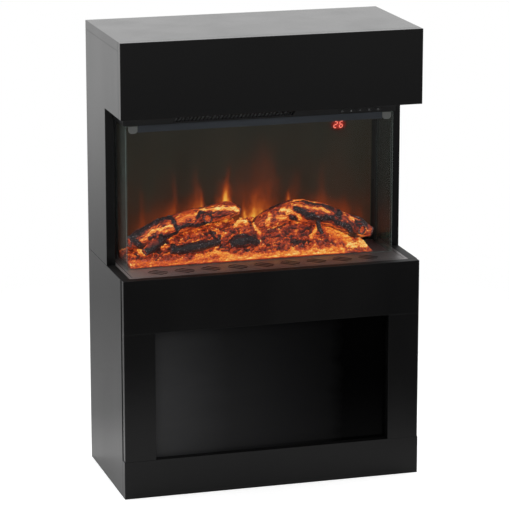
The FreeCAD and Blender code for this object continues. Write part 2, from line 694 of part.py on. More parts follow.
def push_button(x):
    """Key cap in the header with a retaining flange and a stem towards its key switch."""
    half_w, half_h = BUTTON_SIZE[0] / 2, BUTTON_SIZE[1] / 2
    cap = box(x - half_w, x + half_w, GLASS_FRONT - BUTTON_PROUD, GLASS_FRONT + SHEET + 1.5,
              BUTTON_Z - half_h, BUTTON_Z + half_h)
    uprights = [edge for edge in cap.Edges if abs(edge.tangentAt(edge.FirstParameter).y) > 0.9]
    cap = cap.makeFillet(1.8, uprights)
    rim = [edge for edge in cap.Edges if abs(edge.CenterOfMass.y - (GLASS_FRONT - BUTTON_PROUD)) < 1e-6]
    cap = cap.makeFillet(0.5, rim)
    flange = box(x - half_w - 1.3, x + half_w + 1.3, GLASS_FRONT + SHEET + 0.4, GLASS_FRONT + SHEET + 1.6,
                 BUTTON_Z - half_h - 1.3, BUTTON_Z + half_h + 1.3)
    stem = rod(2, V(x, GLASS_FRONT + SHEET + 1.0, BUTTON_Z), Y_AXIS, 4.2)
    return fuse_all([cap, flange, stem])


def power_board():
    """Mains board with transformer, relays and capacitor on the compartment's floor."""
    low = CEILING_Z + SHEET
    pieces = [box(170, 320, 10, 110, low + 6, low + 7.6)]
    for x in (176, 314):
        for y in (16, 104):
            pieces.append(rod(3, V(x, y, low), Z_AXIS, 6.5))
    top = low + 7.6
    pieces.append(box(180, 222, 20, 56, top, top + 32))
    for y in (20, 44):
        pieces.append(box(236, 264, y, y + 16, top, top + 18))
    pieces.append(rod(8, V(290, 30, top), Z_AXIS, 24))
    pieces.append(box(280, 312, 84, 100, top, top + 14))
    return fuse_all(pieces)


def cable_gland():
    """Round strain-relief bush in the case back, where a supply cord enters."""
    flange = rod(10, V(GLAND_X, CASE_BACK, GLAND_Z), Y_AXIS, 3)
    spigot = Part.makeCone(8, 5.5, 12, V(GLAND_X, CASE_BACK + 2.5, GLAND_Z), Y_AXIS)
    neck = rod(6, V(GLAND_X, CASE_BACK - 8, GLAND_Z), Y_AXIS, 8)
    nut = rod(9, V(GLAND_X, CASE_BACK - 5, GLAND_Z), Y_AXIS, 4)
    way = rod(3.6, V(GLAND_X, CASE_BACK - 10, GLAND_Z), Y_AXIS, 30)
    return fuse_all([flange, spigot, neck, nut]).cut(way)


def switch_housing():
    """Body and bezel of the mains rocker switch."""
    bezel = rounded_box(GLAND_X - 10.5, GLAND_X + 10.5, CASE_BACK, CASE_BACK + 2.4, SWITCH_Z - 15, SWITCH_Z + 15, 0.8)
    body = box(GLAND_X - 6.8, GLAND_X + 6.8, CASE_BACK - 15, CASE_BACK + 1, SWITCH_Z - 10.8, SWITCH_Z + 10.8)
    pocket = box(GLAND_X - 5.4, GLAND_X + 5.4, CASE_BACK - 10, CASE_BACK + 4, SWITCH_Z - 9.6, SWITCH_Z + 9.6)
    pieces = [bezel.fuse(body).removeSplitter().cut(pocket)]
    for side in (-1, 1):
        pieces.append(box(GLAND_X - 3, GLAND_X + 3, CASE_BACK - 23, CASE_BACK - 14,
                          SWITCH_Z + side * 6 - 0.4, SWITCH_Z + side * 6 + 0.4))
    return fuse_all(pieces)


def switch_rocker():
    """Rocker on its pivot, resting tilted to one side."""
    pivot = V(GLAND_X, CASE_BACK - 3, SWITCH_Z)
    face = CASE_BACK + 3.4
    outline = [(face, SWITCH_Z - 8.4), (face - 1.0, SWITCH_Z), (face, SWITCH_Z + 8.4),
               (CASE_BACK - 5.5, SWITCH_Z + 6.6), (CASE_BACK - 5.5, SWITCH_Z - 6.6)]
    rocker = prism_x(outline, GLAND_X - 5.0, GLAND_X + 5.0)
    rocker.rotate(pivot, X_AXIS, ROCKER_TILT)
    return rocker


def insert_screws():
    """Pan-head screws: one in each side frame and a row down each edge of the case back."""
    screws = []
    for side in (-1, 1):
        inward = X_AXIS * -side
        screws.append(pan_screw(V(side * FRAME_WALL, 70.5, 697), inward, 3.2, SHEET))
        for z in (GLAND_Z - 22, 700, 800, 880, 985):
            screws.append(pan_screw(V(side * (FRAME_WALL - 8), CASE_BACK, z), Y_AXIS, 3.2, 2 * SHEET))
    return Part.makeCompound(screws)


PARTS = {
    "top_board": top_board,
    "upper_fascia": upper_fascia,
    "left_side_panel": left_side_panel,
    "right_side_panel": right_side_panel,
    "mantel_soffit": mantel_soffit,
    "lower_fascia": lower_fascia,
    "left_stile": left_stile,
    "right_stile": right_stile,
    "plinth_board": plinth_board,
    "decor_panel": decor_panel,
    "firebox_shelf": firebox_shelf,
    "bottom_board": bottom_board,
    "rear_foot_rail": rear_foot_rail,
    "upper_back_rail": upper_back_rail,
    "lower_back_panel": lower_back_panel,
    "corner_brackets": corner_brackets,
    "cabinet_screws": cabinet_screws,
    "base_pan": base_pan,
    "tray_panel": tray_panel,
    "left_side_frame": left_side_frame,
    "right_side_frame": right_side_frame,
    "case_back": case_back,
    "chamber_ceiling": chamber_ceiling,
    "case_top": case_top,
    "header_panel": header_panel,
    "outlet_grille": outlet_grille,
    "front_glass": front_glass,
    "left_side_glass": left_side_glass,
    "right_side_glass": right_side_glass,
    "glass_rail": glass_rail,
    "glass_clips": glass_clips,
    "left_log": left_log,
    "right_log": right_log,
    "small_logs": small_logs,
    "ember_bed": ember_bed,
    "flame_screen": flame_screen,
    "display_module": display_module,
    "flame_rotor": flame_rotor,
    "rotor_motor": rotor_motor,
    "rotor_bush": rotor_bush,
    "ember_led_strip": ember_led_strip,
    "flame_led_strip": flame_led_strip,
    "heater_duct": heater_duct,
    "heating_element": heating_element,
    "blower_wheel": blower_wheel,
    "blower_motor": blower_motor,
    "blower_bearing": blower_bearing,
    "thermal_cutout": thermal_cutout,
    "control_board": control_board,
    "power_board": power_board,
    "cable_gland": cable_gland,
    "switch_housing": switch_housing,
    "switch_rocker": switch_rocker,
    "insert_screws": insert_screws,
}


def main():
    """Build every sub-part and write one STEP file each."""
    os.makedirs("parts", exist_ok=True)
    shapes = {name: make() for name, make in PARTS.items()}
    for index, x in enumerate(BUTTON_X):
        shapes["button_" + str(index + 1)] = push_button(x)
    for name, shape in shapes.items():
        shape.exportStep(os.path.join("parts", name + ".step"))
        state = "valid" if shape.isValid() else "INVALID"
        print(name, state, len(shape.Solids), "solids", round(shape.Volume / 1000, 2), "cm3")


main()
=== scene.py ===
"""Electric fireplace: surfaces, fire effect, display and studio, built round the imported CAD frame."""
import json
import math

import bmesh
import bpy
import numpy as np
from mathutils import Matrix, Vector, noise


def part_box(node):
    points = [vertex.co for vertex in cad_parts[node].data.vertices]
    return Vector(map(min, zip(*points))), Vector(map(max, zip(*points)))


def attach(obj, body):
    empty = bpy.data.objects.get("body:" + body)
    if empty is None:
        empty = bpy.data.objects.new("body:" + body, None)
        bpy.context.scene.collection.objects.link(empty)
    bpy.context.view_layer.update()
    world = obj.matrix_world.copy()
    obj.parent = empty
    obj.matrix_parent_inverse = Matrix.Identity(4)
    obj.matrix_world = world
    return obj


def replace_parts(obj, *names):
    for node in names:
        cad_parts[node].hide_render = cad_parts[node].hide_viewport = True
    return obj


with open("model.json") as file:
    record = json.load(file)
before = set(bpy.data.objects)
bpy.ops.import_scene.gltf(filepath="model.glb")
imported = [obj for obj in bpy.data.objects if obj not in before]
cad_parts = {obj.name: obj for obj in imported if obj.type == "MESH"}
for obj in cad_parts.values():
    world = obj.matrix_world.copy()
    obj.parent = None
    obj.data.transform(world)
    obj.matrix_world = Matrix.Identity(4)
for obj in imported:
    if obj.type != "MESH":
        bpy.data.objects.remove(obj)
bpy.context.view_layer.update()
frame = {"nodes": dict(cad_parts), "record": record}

NODES = frame["nodes"]
MM = 0.001


# ---------------------------------------------------------------- node-tree helpers
def new_material(name):
    """An empty node material and its tree."""
    material = bpy.data.materials.new(name)
    material.use_nodes = True
    material.node_tree.nodes.clear()
    return material, material.node_tree


def add(tree, kind, inputs=(), **properties):
    """Add a shader node; an input is a value, or another node's output to link."""
    node = tree.nodes.new("ShaderNode" + kind)
    for key, value in properties.items():
        setattr(node, key, value)
    for key, value in dict(inputs).items():
        if isinstance(value, bpy.types.NodeSocket):
            tree.links.new(value, node.inputs[key])
        else:
            node.inputs[key].default_value = value
    return node


def calc(tree, operation, *terms, clamp=False):
    """Result of a maths node on numbers or outputs."""
    return add(tree, "Math", dict(enumerate(terms)), operation=operation, use_clamp=clamp).outputs[0]


def mix_shaders(tree, share, first, second):
    """The first shader where the share is 0, the second where it is 1."""
    return add(tree, "MixShader", {0: share, 1: first, 2: second}).outputs[0]


def mix_colours(tree, share, first, second, blend="MIX"):
    """The first colour where the share is 0, the second blended in where it is 1."""
    sockets = {0: share, 6: first, 7: second}
    return add(tree, "Mix", sockets, data_type="RGBA", blend_type=blend).outputs[2]


def metres(tree, stretch=(1, 1, 1)):
    """Position in metres in the object's own frame, stretched along the axes."""
    where = add(tree, "TexCoord").outputs["Object"]
    return add(tree, "Mapping", {"Vector": where, "Scale": stretch}).outputs["Vector"]


def noise_at(tree, vector, scale, detail=4.0, roughness=0.55):
    """Noise of a scale in cycles per metre."""
    sockets = {"Vector": vector, "Scale": scale, "Detail": detail, "Roughness": roughness}
    return add(tree, "TexNoise", sockets).outputs["Fac"]


def remap(tree, value, low, high, new_low, new_high, smooth=False):
    """Clamped map from one range to another."""
    sockets = {"Value": value, "From Min": low, "From Max": high, "To Min": new_low, "To Max": new_high}
    kind = "SMOOTHSTEP" if smooth else "LINEAR"
    return add(tree, "MapRange", sockets, interpolation_type=kind).outputs["Result"]


def ramp(tree, value, stops):
    """Colour ramp through (position, (r, g, b)) stops."""
    node = add(tree, "ValToRGB", {"Fac": value})
    elements = node.color_ramp.elements
    while len(elements) < len(stops):
        elements.new(0.5)
    for element, (position, colour) in zip(elements, stops):
        element.position = position
        element.color = (*colour, 1.0)
    return node.outputs["Color"]


def shade(colour, factor):
    """A colour made darker or lighter."""
    return tuple(channel * factor for channel in colour)


def bump(tree, height, distance, strength=1.0, normal=None):
    """Bump from a height, with its depth in metres."""
    sockets = {"Height": height, "Distance": distance, "Strength": strength}
    if normal is not None:
        sockets["Normal"] = normal
    return add(tree, "Bump", sockets).outputs["Normal"]


def output(tree, shader):
    """Send a shader to the material's surface."""
    add(tree, "OutputMaterial", {"Surface": shader})


def principled(tree, sockets):
    """Principled surface from its sockets, sent to the output."""
    output(tree, add(tree, "BsdfPrincipled", sockets).outputs["BSDF"])


def surface(name, colour, roughness, metallic=0.0, vary=0.25, patch=30.0, grain=700.0, depth=0.00003,
            stretch=(1, 1, 1), ior=1.5, coat=0.0):
    """Opaque finish: colour and roughness drift in patches, with a fine grain in the relief."""
    material, tree = new_material(name)
    where = metres(tree, stretch)
    patches = noise_at(tree, where, patch)
    fine = noise_at(tree, where, grain, 3.0)
    tint = ramp(tree, patches, [(0.3, shade(colour, 1 - vary)), (0.7, shade(colour, 1 + vary))])
    rough = remap(tree, patches, 0.3, 0.7, roughness * 0.85, roughness * 1.15)
    sockets = {"Base Color": tint, "Roughness": rough, "Metallic": metallic, "IOR": ior,
               "Coat Weight": coat, "Normal": bump(tree, fine, depth)}
    principled(tree, sockets)
    return material


# ---------------------------------------------------------------- finishes
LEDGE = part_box("lower_fascia")[1].z


def lacquered_board():
    """Satin black lacquer: faint orange peel, dust nibs, uneven sheen, and rubbed duller on the ledge."""
    material, tree = new_material("satin_black_lacquer")
    where = metres(tree)
    peel = noise_at(tree, where, 260.0, 2.0, 0.4)
    nibs = add(tree, "TexVoronoi", {"Vector": where, "Scale": 45.0, "Randomness": 1.0}).outputs["Distance"]
    nib_height = remap(tree, nibs, 0.0, 0.035, 1.0, 0.0, smooth=True)
    wiped = noise_at(tree, metres(tree, (1, 1, 0.25)), 7.0, 3.0)
    tint = ramp(tree, wiped, [(0.3, (0.0038, 0.0038, 0.0040)), (0.75, (0.0056, 0.0055, 0.0056))])
    rise = add(tree, "SeparateXYZ", {"Vector": where}).outputs["Z"]
    off_ledge = calc(tree, "COMPARE", rise, LEDGE, 0.0009)
    wear = remap(tree, off_ledge, 0.0, 1.0, 0.0, 0.36)
    clean = remap(tree, wiped, 0.3, 0.75, 0.18, 0.24)
    rough = calc(tree, "ADD", clean, wear)
    relief = bump(tree, peel, 0.00002)
    relief = bump(tree, nib_height, 0.00006, normal=relief)
    sockets = {"Base Color": tint, "Roughness": rough, "IOR": 1.32, "Normal": relief}
    principled(tree, sockets)
    return material


def gloss_panel():
    """Back-painted gloss panel under a smooth face, with a painted reflection: its black is brightest at
    the -x side and fades to near black towards the +x side, with painted shade at the top.
    """
    material, tree = new_material("gloss_black_panel_painted_reflection")
    where = metres(tree)
    wave = noise_at(tree, where, 9.0, 1.0, 0.3)
    smear = noise_at(tree, metres(tree, (1, 1, 2.5)), 11.0, 3.0)
    parts = add(tree, "SeparateXYZ", {"Vector": where})
    drift = calc(tree, "MULTIPLY_ADD", smear, 0.05, parts.outputs["X"])
    side = remap(tree, drift, -0.27, 0.33, 0.0, 1.0)
    # Painted reflection: the base colour falls from dark grey at the -x side to near black past the middle,
    # towards the +x side.
    deep = ramp(tree, side, [(0.0, (0.046, 0.046, 0.047)), (0.12, (0.034, 0.034, 0.035)),
                             (0.32, (0.0165, 0.0165, 0.017)), (0.55, (0.0095, 0.0095, 0.010)),
                             (0.74, (0.0050, 0.0050, 0.0052)), (0.80, (0.0006, 0.0006, 0.0007))])
    # Painted shade: towards the top the colour is blended a little further towards black.
    lower = remap(tree, parts.outputs["Z"], 0.24, 0.36, 1.0, 0.85, smooth=True)
    tint = mix_colours(tree, lower, (0.002, 0.002, 0.002, 1), deep)
    rough = remap(tree, smear, 0.35, 0.75, 0.13, 0.19)
    sockets = {"Base Color": tint, "Roughness": rough, "IOR": 1.12, "Normal": bump(tree, wave, 0.0006)}
    principled(tree, sockets)
    return material


TRAY_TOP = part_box("tray_panel")[1].z


def vented_tray_steel():
    """Warm grey metallic paint with a fine sparkle, a painted sheen that makes it brightest at the -x end,
    and painted shade that turns everything below the top face, inside the vents, nearly black.
    """
    material, tree = new_material("grey_metallic_tray_painted_sheen_and_shade")
    where = metres(tree)
    flake = add(tree, "TexVoronoi", {"Vector": where, "Scale": 1500.0}).outputs["Color"]
    sparkle = add(tree, "SeparateColor", {"Color": flake}).outputs["Red"]
    dust = noise_at(tree, where, 22.0)
    tint = ramp(tree, sparkle, [(0.0, (0.23, 0.215, 0.215)), (0.7, (0.33, 0.31, 0.31)),
                                (1.0, (0.52, 0.49, 0.48))])
    place = add(tree, "SeparateXYZ", {"Vector": where})
    # Painted sheen: the tint is brightest at the -x end, darkest in the middle and a little lighter again
    # at the +x end.
    sheen = ramp(tree, remap(tree, place.outputs["X"], -0.35, 0.35, 0.0, 1.0),
                 [(0.0, (1.0, 1.0, 1.0)), (0.2, (0.62, 0.62, 0.63)), (0.5, (0.36, 0.35, 0.36)),
                  (1.0, (0.42, 0.40, 0.40))])
    tint = mix_colours(tree, 1.0, tint, sheen, blend="MULTIPLY")
    # Painted shade: below the tray's top face, in the vent openings and on what lies under them, the colour
    # goes nearly black.
    inside = remap(tree, place.outputs["Z"], TRAY_TOP - 0.0006, TRAY_TOP - 0.0003, 0.03, 1.0)
    seen = mix_colours(tree, inside, (0, 0, 0, 1), tint)
    rough = remap(tree, dust, 0.3, 0.7, 0.34, 0.46)
    relief = bump(tree, noise_at(tree, where, 900.0, 2.0), 0.00004)
    sockets = {"Base Color": seen, "Roughness": rough, "Metallic": 0.55, "Normal": relief}
    principled(tree, sockets)
    return material


def pane_glass():
    """Clear tempered pane: sees through its faces, mirrors by angle, and has pale ground edges."""
    material, tree = new_material("clear_tempered_glass")
    normal = add(tree, "NewGeometry").outputs["Normal"]
    size = add(tree, "VectorMath", {0: normal}, operation="ABSOLUTE").outputs[0]
    parts = add(tree, "SeparateXYZ", {"Vector": size}).outputs
    broad = calc(tree, "MAXIMUM", parts["X"], parts["Y"])
    ground = remap(tree, broad, 0.80, 0.97, 1.0, 0.0)
    film = noise_at(tree, metres(tree, (1, 1, 0.6)), 12.0, 5.0)
    rough = remap(tree, film, 0.35, 0.8, 0.004, 0.02)
    mirror = add(tree, "BsdfGlossy", {"Color": (1, 1, 1, 1), "Roughness": rough}).outputs[0]
    clear = add(tree, "BsdfTransparent", {"Color": (0.93, 0.955, 0.945, 1)}).outputs[0]
    dust = add(tree, "BsdfDiffuse", {"Color": (0.42, 0.52, 0.49, 1)}).outputs[0]
    slant = add(tree, "LayerWeight", {"Blend": 0.5}).outputs["Facing"]
    film_share = remap(tree, slant, 0.25, 0.9, 0.004, 0.10)
    hazed = mix_shaders(tree, film_share, clear, dust)
    steep = calc(tree, "POWER", slant, 5.0)
    share = remap(tree, steep, 0.0, 1.0, 0.010, 1.0)
    pane = mix_shaders(tree, share, hazed, mirror)
    edge = add(tree, "BsdfPrincipled", {"Base Color": (0.30, 0.37, 0.35, 1), "Roughness": 0.4}).outputs[0]
    output(tree, mix_shaders(tree, ground, pane, edge))
    return material


def smoked_screen():
    """Smoked diffuser with a faint even back light and a fine vertical ribbing."""
    material, tree = new_material("smoked_flame_screen")
    where = metres(tree)
    cloud = noise_at(tree, metres(tree, (1, 1, 0.35)), 9.0, 3.0)
    ribs = add(tree, "TexWave", {"Vector": where, "Scale": 160.0, "Distortion": 0.4}, bands_direction="X")
    glow = ramp(tree, cloud, [(0.3, (0.0080, 0.0075, 0.0045)), (0.7, (0.0135, 0.0115, 0.0070))])
    tint = ramp(tree, cloud, [(0.3, (0.022, 0.020, 0.014)), (0.7, (0.030, 0.027, 0.019))])
    sockets = {"Base Color": tint, "Roughness": remap(tree, cloud, 0.3, 0.7, 0.30, 0.40),
               "Emission Color": glow, "Emission Strength": 1.0, "IOR": 1.2,
               "Normal": bump(tree, ribs.outputs["Fac"], 0.00002)}
    principled(tree, sockets)
    return material


HEAT_STOPS = [(0.0, (0.006, 0.0022, 0.0025)), (0.13, (0.020, 0.0040, 0.003)), (0.26, (0.100, 0.010, 0.005)),
              (0.40, (0.21, 0.020, 0.007)), (0.52, (0.40, 0.038, 0.008)), (0.64, (0.62, 0.076, 0.010)),
              (0.76, (0.84, 0.17, 0.017)), (0.88, (0.98, 0.40, 0.055)), (1.0, (1.0, 0.72, 0.26))]


def glowing(name, cool_dark, cool_light, roughness, grain, depth):
    """Charred surface that glows by the mesh's own 'ember_level' layer, broken by fine dark cracks."""
    material, tree = new_material(name)
    where = metres(tree)
    layer = add(tree, "Attribute", attribute_name="ember_level")
    parts = add(tree, "SeparateColor", {"Color": layer.outputs["Color"]})
    fine = noise_at(tree, where, grain, 5.0, 0.62)
    flicker = remap(tree, fine, 0.3, 0.7, -0.08, 0.08)
    grainy = noise_at(tree, metres(tree, (0.28, 1, 1)), 120.0, 3.0, 0.6)
    apart = calc(tree, "SUBTRACT", grainy, 0.5)
    away = calc(tree, "ABSOLUTE", apart)
    crack = remap(tree, away, 0.0, 0.07, -0.13, 0.03, smooth=True)
    broken = calc(tree, "ADD", flicker, crack)
    heat = calc(tree, "ADD", parts.outputs["Red"], broken, clamp=True)
    glow = ramp(tree, heat, HEAT_STOPS)
    speck = remap(tree, fine, 0.52, 0.66, 0.0, 1.0)
    ash = calc(tree, "MULTIPLY", parts.outputs["Green"], speck)
    tint = ramp(tree, ash, [(0.0, cool_dark), (1.0, cool_light)])
    height = calc(tree, "ADD", fine, crack)
    rough = remap(tree, fine, 0.3, 0.7, roughness * 0.8, roughness * 1.2)
    sockets = {"Base Color": tint, "Roughness": rough, "Emission Color": glow, "Emission Strength": 1.0,
               "Normal": bump(tree, height, depth)}
    principled(tree, sockets)
    return material


FLAME_STOPS = [(0.0, (0.30, 0.038, 0.008)), (0.4, (0.40, 0.052, 0.009)), (0.7, (0.54, 0.095, 0.014)),
               (0.86, (0.78, 0.24, 0.030)), (1.0, (0.95, 0.46, 0.07))]


def light_film(name, stops):
    """Light thrown on a screen: emission by the mesh's 'glow' layer over clear film."""
    material, tree = new_material(name)
    layer = add(tree, "Attribute", attribute_name="glow").outputs["Fac"]
    fine = noise_at(tree, metres(tree, (1, 1, 0.25)), 120.0, 3.0)
    waver = remap(tree, fine, 0.3, 0.7, 0.93, 1.07)
    level = calc(tree, "MULTIPLY", layer, waver)
    light = add(tree, "Emission", {"Color": ramp(tree, level, stops), "Strength": 1.0}).outputs[0]
    clear = add(tree, "BsdfTransparent").outputs[0]
    share = remap(tree, layer, 0.0, 0.85, 0.0, 1.0)
    output(tree, mix_shaders(tree, share, clear, light))
    return material


def lit_segment():
    """Glowing display segment, its red mottled by a fine noise."""
    material, tree = new_material("red_segment")
    cloud = noise_at(tree, metres(tree), 500.0)
    glow = ramp(tree, cloud, [(0.2, (0.88, 0.12, 0.08)), (0.8, (1.0, 0.28, 0.20))])
    sockets = {"Base Color": (0.3, 0.02, 0.02, 1), "Roughness": 0.4, "Emission Color": glow,
               "Emission Strength": 1.15}
    principled(tree, sockets)
    return material


MATERIALS = {
    "black_board": lacquered_board(),
    "gloss_panel": gloss_panel(),
    "hardboard": surface("dark_hardboard", (0.035, 0.030, 0.026), 0.62, grain=500.0, depth=0.0001),
    "zinc_steel": surface("zinc_plate", (0.50, 0.51, 0.52), 0.32, metallic=1.0, vary=0.12, patch=160.0),
    "galvanised_sheet": surface("galvanised_sheet", (0.45, 0.46, 0.48), 0.36, metallic=1.0, patch=70.0),
    "black_sheet": surface("black_powder_coat", (0.010, 0.010, 0.0105), 0.42, grain=1300.0, depth=0.00006),
    "grey_sheet": vented_tray_steel(),
    "clear_glass": pane_glass(),
    "rail_steel": surface("satin_grey_rail", (0.066, 0.076, 0.092), 0.34, metallic=0.3, patch=40.0,
                          stretch=(0.15, 1, 1)),
    "clip_plastic": surface("frosted_clip", (0.26, 0.27, 0.26), 0.45, vary=0.08, grain=1500.0),
    "log_resin": glowing("charred_bark", (0.035, 0.028, 0.034), (0.62, 0.56, 0.62), 0.5, 330.0, 0.0010),
    "ember_resin": glowing("ember_heap", (0.045, 0.024, 0.026), (0.40, 0.30, 0.32), 0.55, 360.0, 0.0009),
    "smoked_screen": smoked_screen(),
    "display_lens": surface("dark_red_lens", (0.012, 0.006, 0.006), 0.18, vary=0.1),
    "mirror_foil": surface("mirror_foil", (0.85, 0.85, 0.87), 0.12, metallic=1.0, vary=0.05, patch=220.0,
                           depth=0.0002),
    "nylon": surface("natural_nylon", (0.62, 0.60, 0.54), 0.5, vary=0.06),
    "circuit_board": surface("green_circuit_board", (0.020, 0.13, 0.055), 0.35, patch=260.0, coat=0.4),
    "element_fins": surface("element_fins", (0.55, 0.55, 0.56), 0.42, metallic=0.9, vary=0.15),
    "fan_wheel": surface("pressed_aluminium", (0.50, 0.51, 0.52), 0.35, metallic=1.0, stretch=(0.1, 1, 1)),
    "key_cap": surface("satin_key_cap", (0.012, 0.012, 0.0125), 0.35, grain=1800.0),
    "black_plastic": surface("moulded_black_plastic", (0.014, 0.014, 0.014), 0.45, grain=1500.0,
                             depth=0.00008),
    "case_screw": surface("blackened_screw", (0.06, 0.06, 0.065), 0.35, metallic=0.8, grain=2500.0),
}
ICON_MATERIAL = surface("pale_print", (0.42, 0.43, 0.43), 0.5, vary=0.05)


def dress_cad_nodes():
    """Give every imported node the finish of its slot."""
    for row in frame["record"]["subparts"]:
        mesh = NODES[row["node"]].data
        mesh.materials.clear()
        mesh.materials.append(MATERIALS[row["material_slot"]])


# ---------------------------------------------------------------- mesh helpers
def linked(name, data):
    """A new object of some data, linked to the scene."""
    made = bpy.data.objects.new(name, data)
    bpy.context.scene.collection.objects.link(made)
    return made


def grid_faces(columns, rows):
    """Faces of a flat grid whose vertices run row by row within each column."""
    return [(i * rows + j, (i + 1) * rows + j, (i + 1) * rows + j + 1, i * rows + j + 1)
            for i in range(columns - 1) for j in range(rows - 1)]


def mesh_object(name, vertices, faces, material, smooth=True):
    """A linked mesh object from arrays of vertices and faces."""
    mesh = bpy.data.meshes.new(name)
    mesh.from_pydata([tuple(v) for v in vertices], [], [tuple(f) for f in faces])
    mesh.materials.append(material)
    if smooth:
        mesh.polygons.foreach_set("use_smooth", [True] * len(mesh.polygons))
    mesh.update()
    return linked(name, mesh)


def colour_layer(made, name, columns):
    """Store per-vertex channels as a colour attribute."""
    count = len(made.data.vertices)
    values = np.ones((count, 4))
    for index, column in enumerate(columns):
        values[:, index] = column
    layer = made.data.attributes.new(name, "FLOAT_COLOR", "POINT")
    layer.data.foreach_set("color", values.astype(np.float32).ravel())


def smoothstep(value, low, high):
    """0 below the low value, 1 above the high one, with an even turn between."""
    t = np.clip((value - low) / (high - low), 0.0, 1.0)
    return t * t * (3 - 2 * t)


def fractal(points, octaves=4, roughness=0.55):
    """Fractal noise, about -1 to 1, at an array of points."""
    total = np.zeros(len(points))
    level, frequency = 1.0, 1.0
    for _ in range(octaves):
        total += level * np.array([noise.noise(Vector(p * frequency)) for p in points])
        level *= roughness
        frequency *= 2.03
    return total


def ridged(points, octaves=3):
    """Ridged noise, 0 in the hollows to about 1 on sharp crests."""
    total = np.zeros(len(points))
    level, frequency = 0.6, 1.0
    for _ in range(octaves):
        total += level * (1 - np.abs([noise.noise(Vector(p * frequency)) for p in points])) ** 3
        level *= 0.5
        frequency *= 2.1
    return total


def cells(points):
    """Distance to the nearest and second nearest cell centres at an array of points."""
    found = [noise.voronoi(Vector(p))[0][:2] for p in points]
    return np.array(found)


def along(stations, count):
    """Even samples of a smooth curve through rows of numbers."""
    rows = np.array(stations, float)
    padded = np.vstack([2 * rows[0] - rows[1], rows, 2 * rows[-1] - rows[-2]])
    spots = np.linspace(0, len(rows) - 1, count)
    made = []
    for spot in spots:
        index = min(int(spot), len(rows) - 2)
        t = spot - index
        a, b, c, d = padded[index:index + 4]
        made.append(0.5 * (2 * b + (c - a) * t + (2 * a - 5 * b + 4 * c - d) * t * t
                           + (3 * b - a - 3 * c + d) * t ** 3))
    return np.array(made)


# ---------------------------------------------------------------- fire: charred and glowing marks, and painted shadows
# A mark is (level, half width in millimetres, line of points).  On a log a point is (share of its
# length, height over its middle line in radii, seen from the front).  On the heap it is (share of the
# half width, height over the tray in millimetres).  Marks are laid in turn, glowing ones first.
SEEN_UP = (0.0, 0.24, 0.97)    # upward in the picture, as seen from the front and a little above
SEEN_LEFT = 0.29               # on the heap, how far a place drifts left in the picture per depth behind
SEEN_RISE = 0.26               # and how far it rises
LEFT_MARKS = [
    (0.90, 4, ((0.05, -0.2), (0.20, 0.3))), (0.95, 4, ((0.20, 0.3), (0.40, 0.0))),
    (0.80, 4, ((0.25, -0.1), (0.40, -0.3))), (0.75, 7, ((0.45, 0.3), (0.60, 0.6))),
    (0.95, 3, ((0.60, 0.4), (0.65, 0.8), (0.70, 0.7))), (0.95, 5, ((0.75, 0.5), (0.85, 0.4), (1.00, -0.1))),
    (0.05, 6, ((0.00, 0.8), (0.20, 0.9), (0.40, 1.0))),
    (0.05, 7, ((0.00, 0.6), (0.05, -0.6), (0.10, -1.0))),
    (0.10, 4, ((0.15, -0.2), (0.20, -0.1))), (0.05, 6, ((0.25, -0.4), (0.30, -0.8), (0.40, -0.9))),
    (0.05, 5, ((0.40, -0.7), (0.40, 0.7))),
    (0.05, 5, ((0.40, -0.4), (0.50, -0.4), (0.60, -0.8), (0.70, -0.7))),
    (0.05, 4, ((0.60, 0.0), (0.65, 0.6), (0.70, 0.1))), (0.20, 3, ((0.75, -0.4), (0.85, -0.5)))]
RIGHT_MARKS = [
    (0.85, 6, ((0.10, -0.2), (0.15, 0.5))), (0.85, 7, ((0.20, -0.1), (0.25, -0.4))),
    (0.90, 6, ((0.25, 0.4), (0.35, -0.3), (0.40, -0.9))), (0.75, 5, ((0.40, -0.9), (0.45, -1.0))),
    (0.95, 3, ((0.35, 1.0), (0.50, 0.9))), (0.85, 3, ((0.45, 1.0), (0.55, 1.0), (0.65, 0.9))),
    (0.85, 4, ((0.35, 0.5), (0.40, 0.3), (0.55, 0.4), (0.65, 0.2))), (0.90, 6, ((0.80, 0.6), (0.85, 0.6))),
    (0.85, 3, ((0.85, -0.2), (0.90, 0.3), (0.95, 0.2), (0.95, -0.5), (0.90, -0.8))),
    (0.05, 9, ((0.35, 0.1), (0.45, -0.4), (0.55, -0.5), (0.65, -0.1))),
    (0.05, 10, ((0.70, 0.6), (0.70, 0.4))), (0.05, 6, ((0.30, -0.6), (0.35, -1.0))),
    (0.05, 7, ((0.70, -0.4), (0.80, -0.3), (0.85, -0.7), (0.90, -1.0))),
    (0.10, 3, ((0.40, 0.8), (0.65, 0.8))), (0.05, 4, ((0.80, 1.0), (0.95, 0.9))),
    (0.05, 5, ((0.85, 0.4), (0.95, 0.7))), (0.05, 4, ((0.05, -0.9), (0.15, -1.0))),
    (0.05, 4, ((0.20, 1.0), (0.25, 1.0)))]
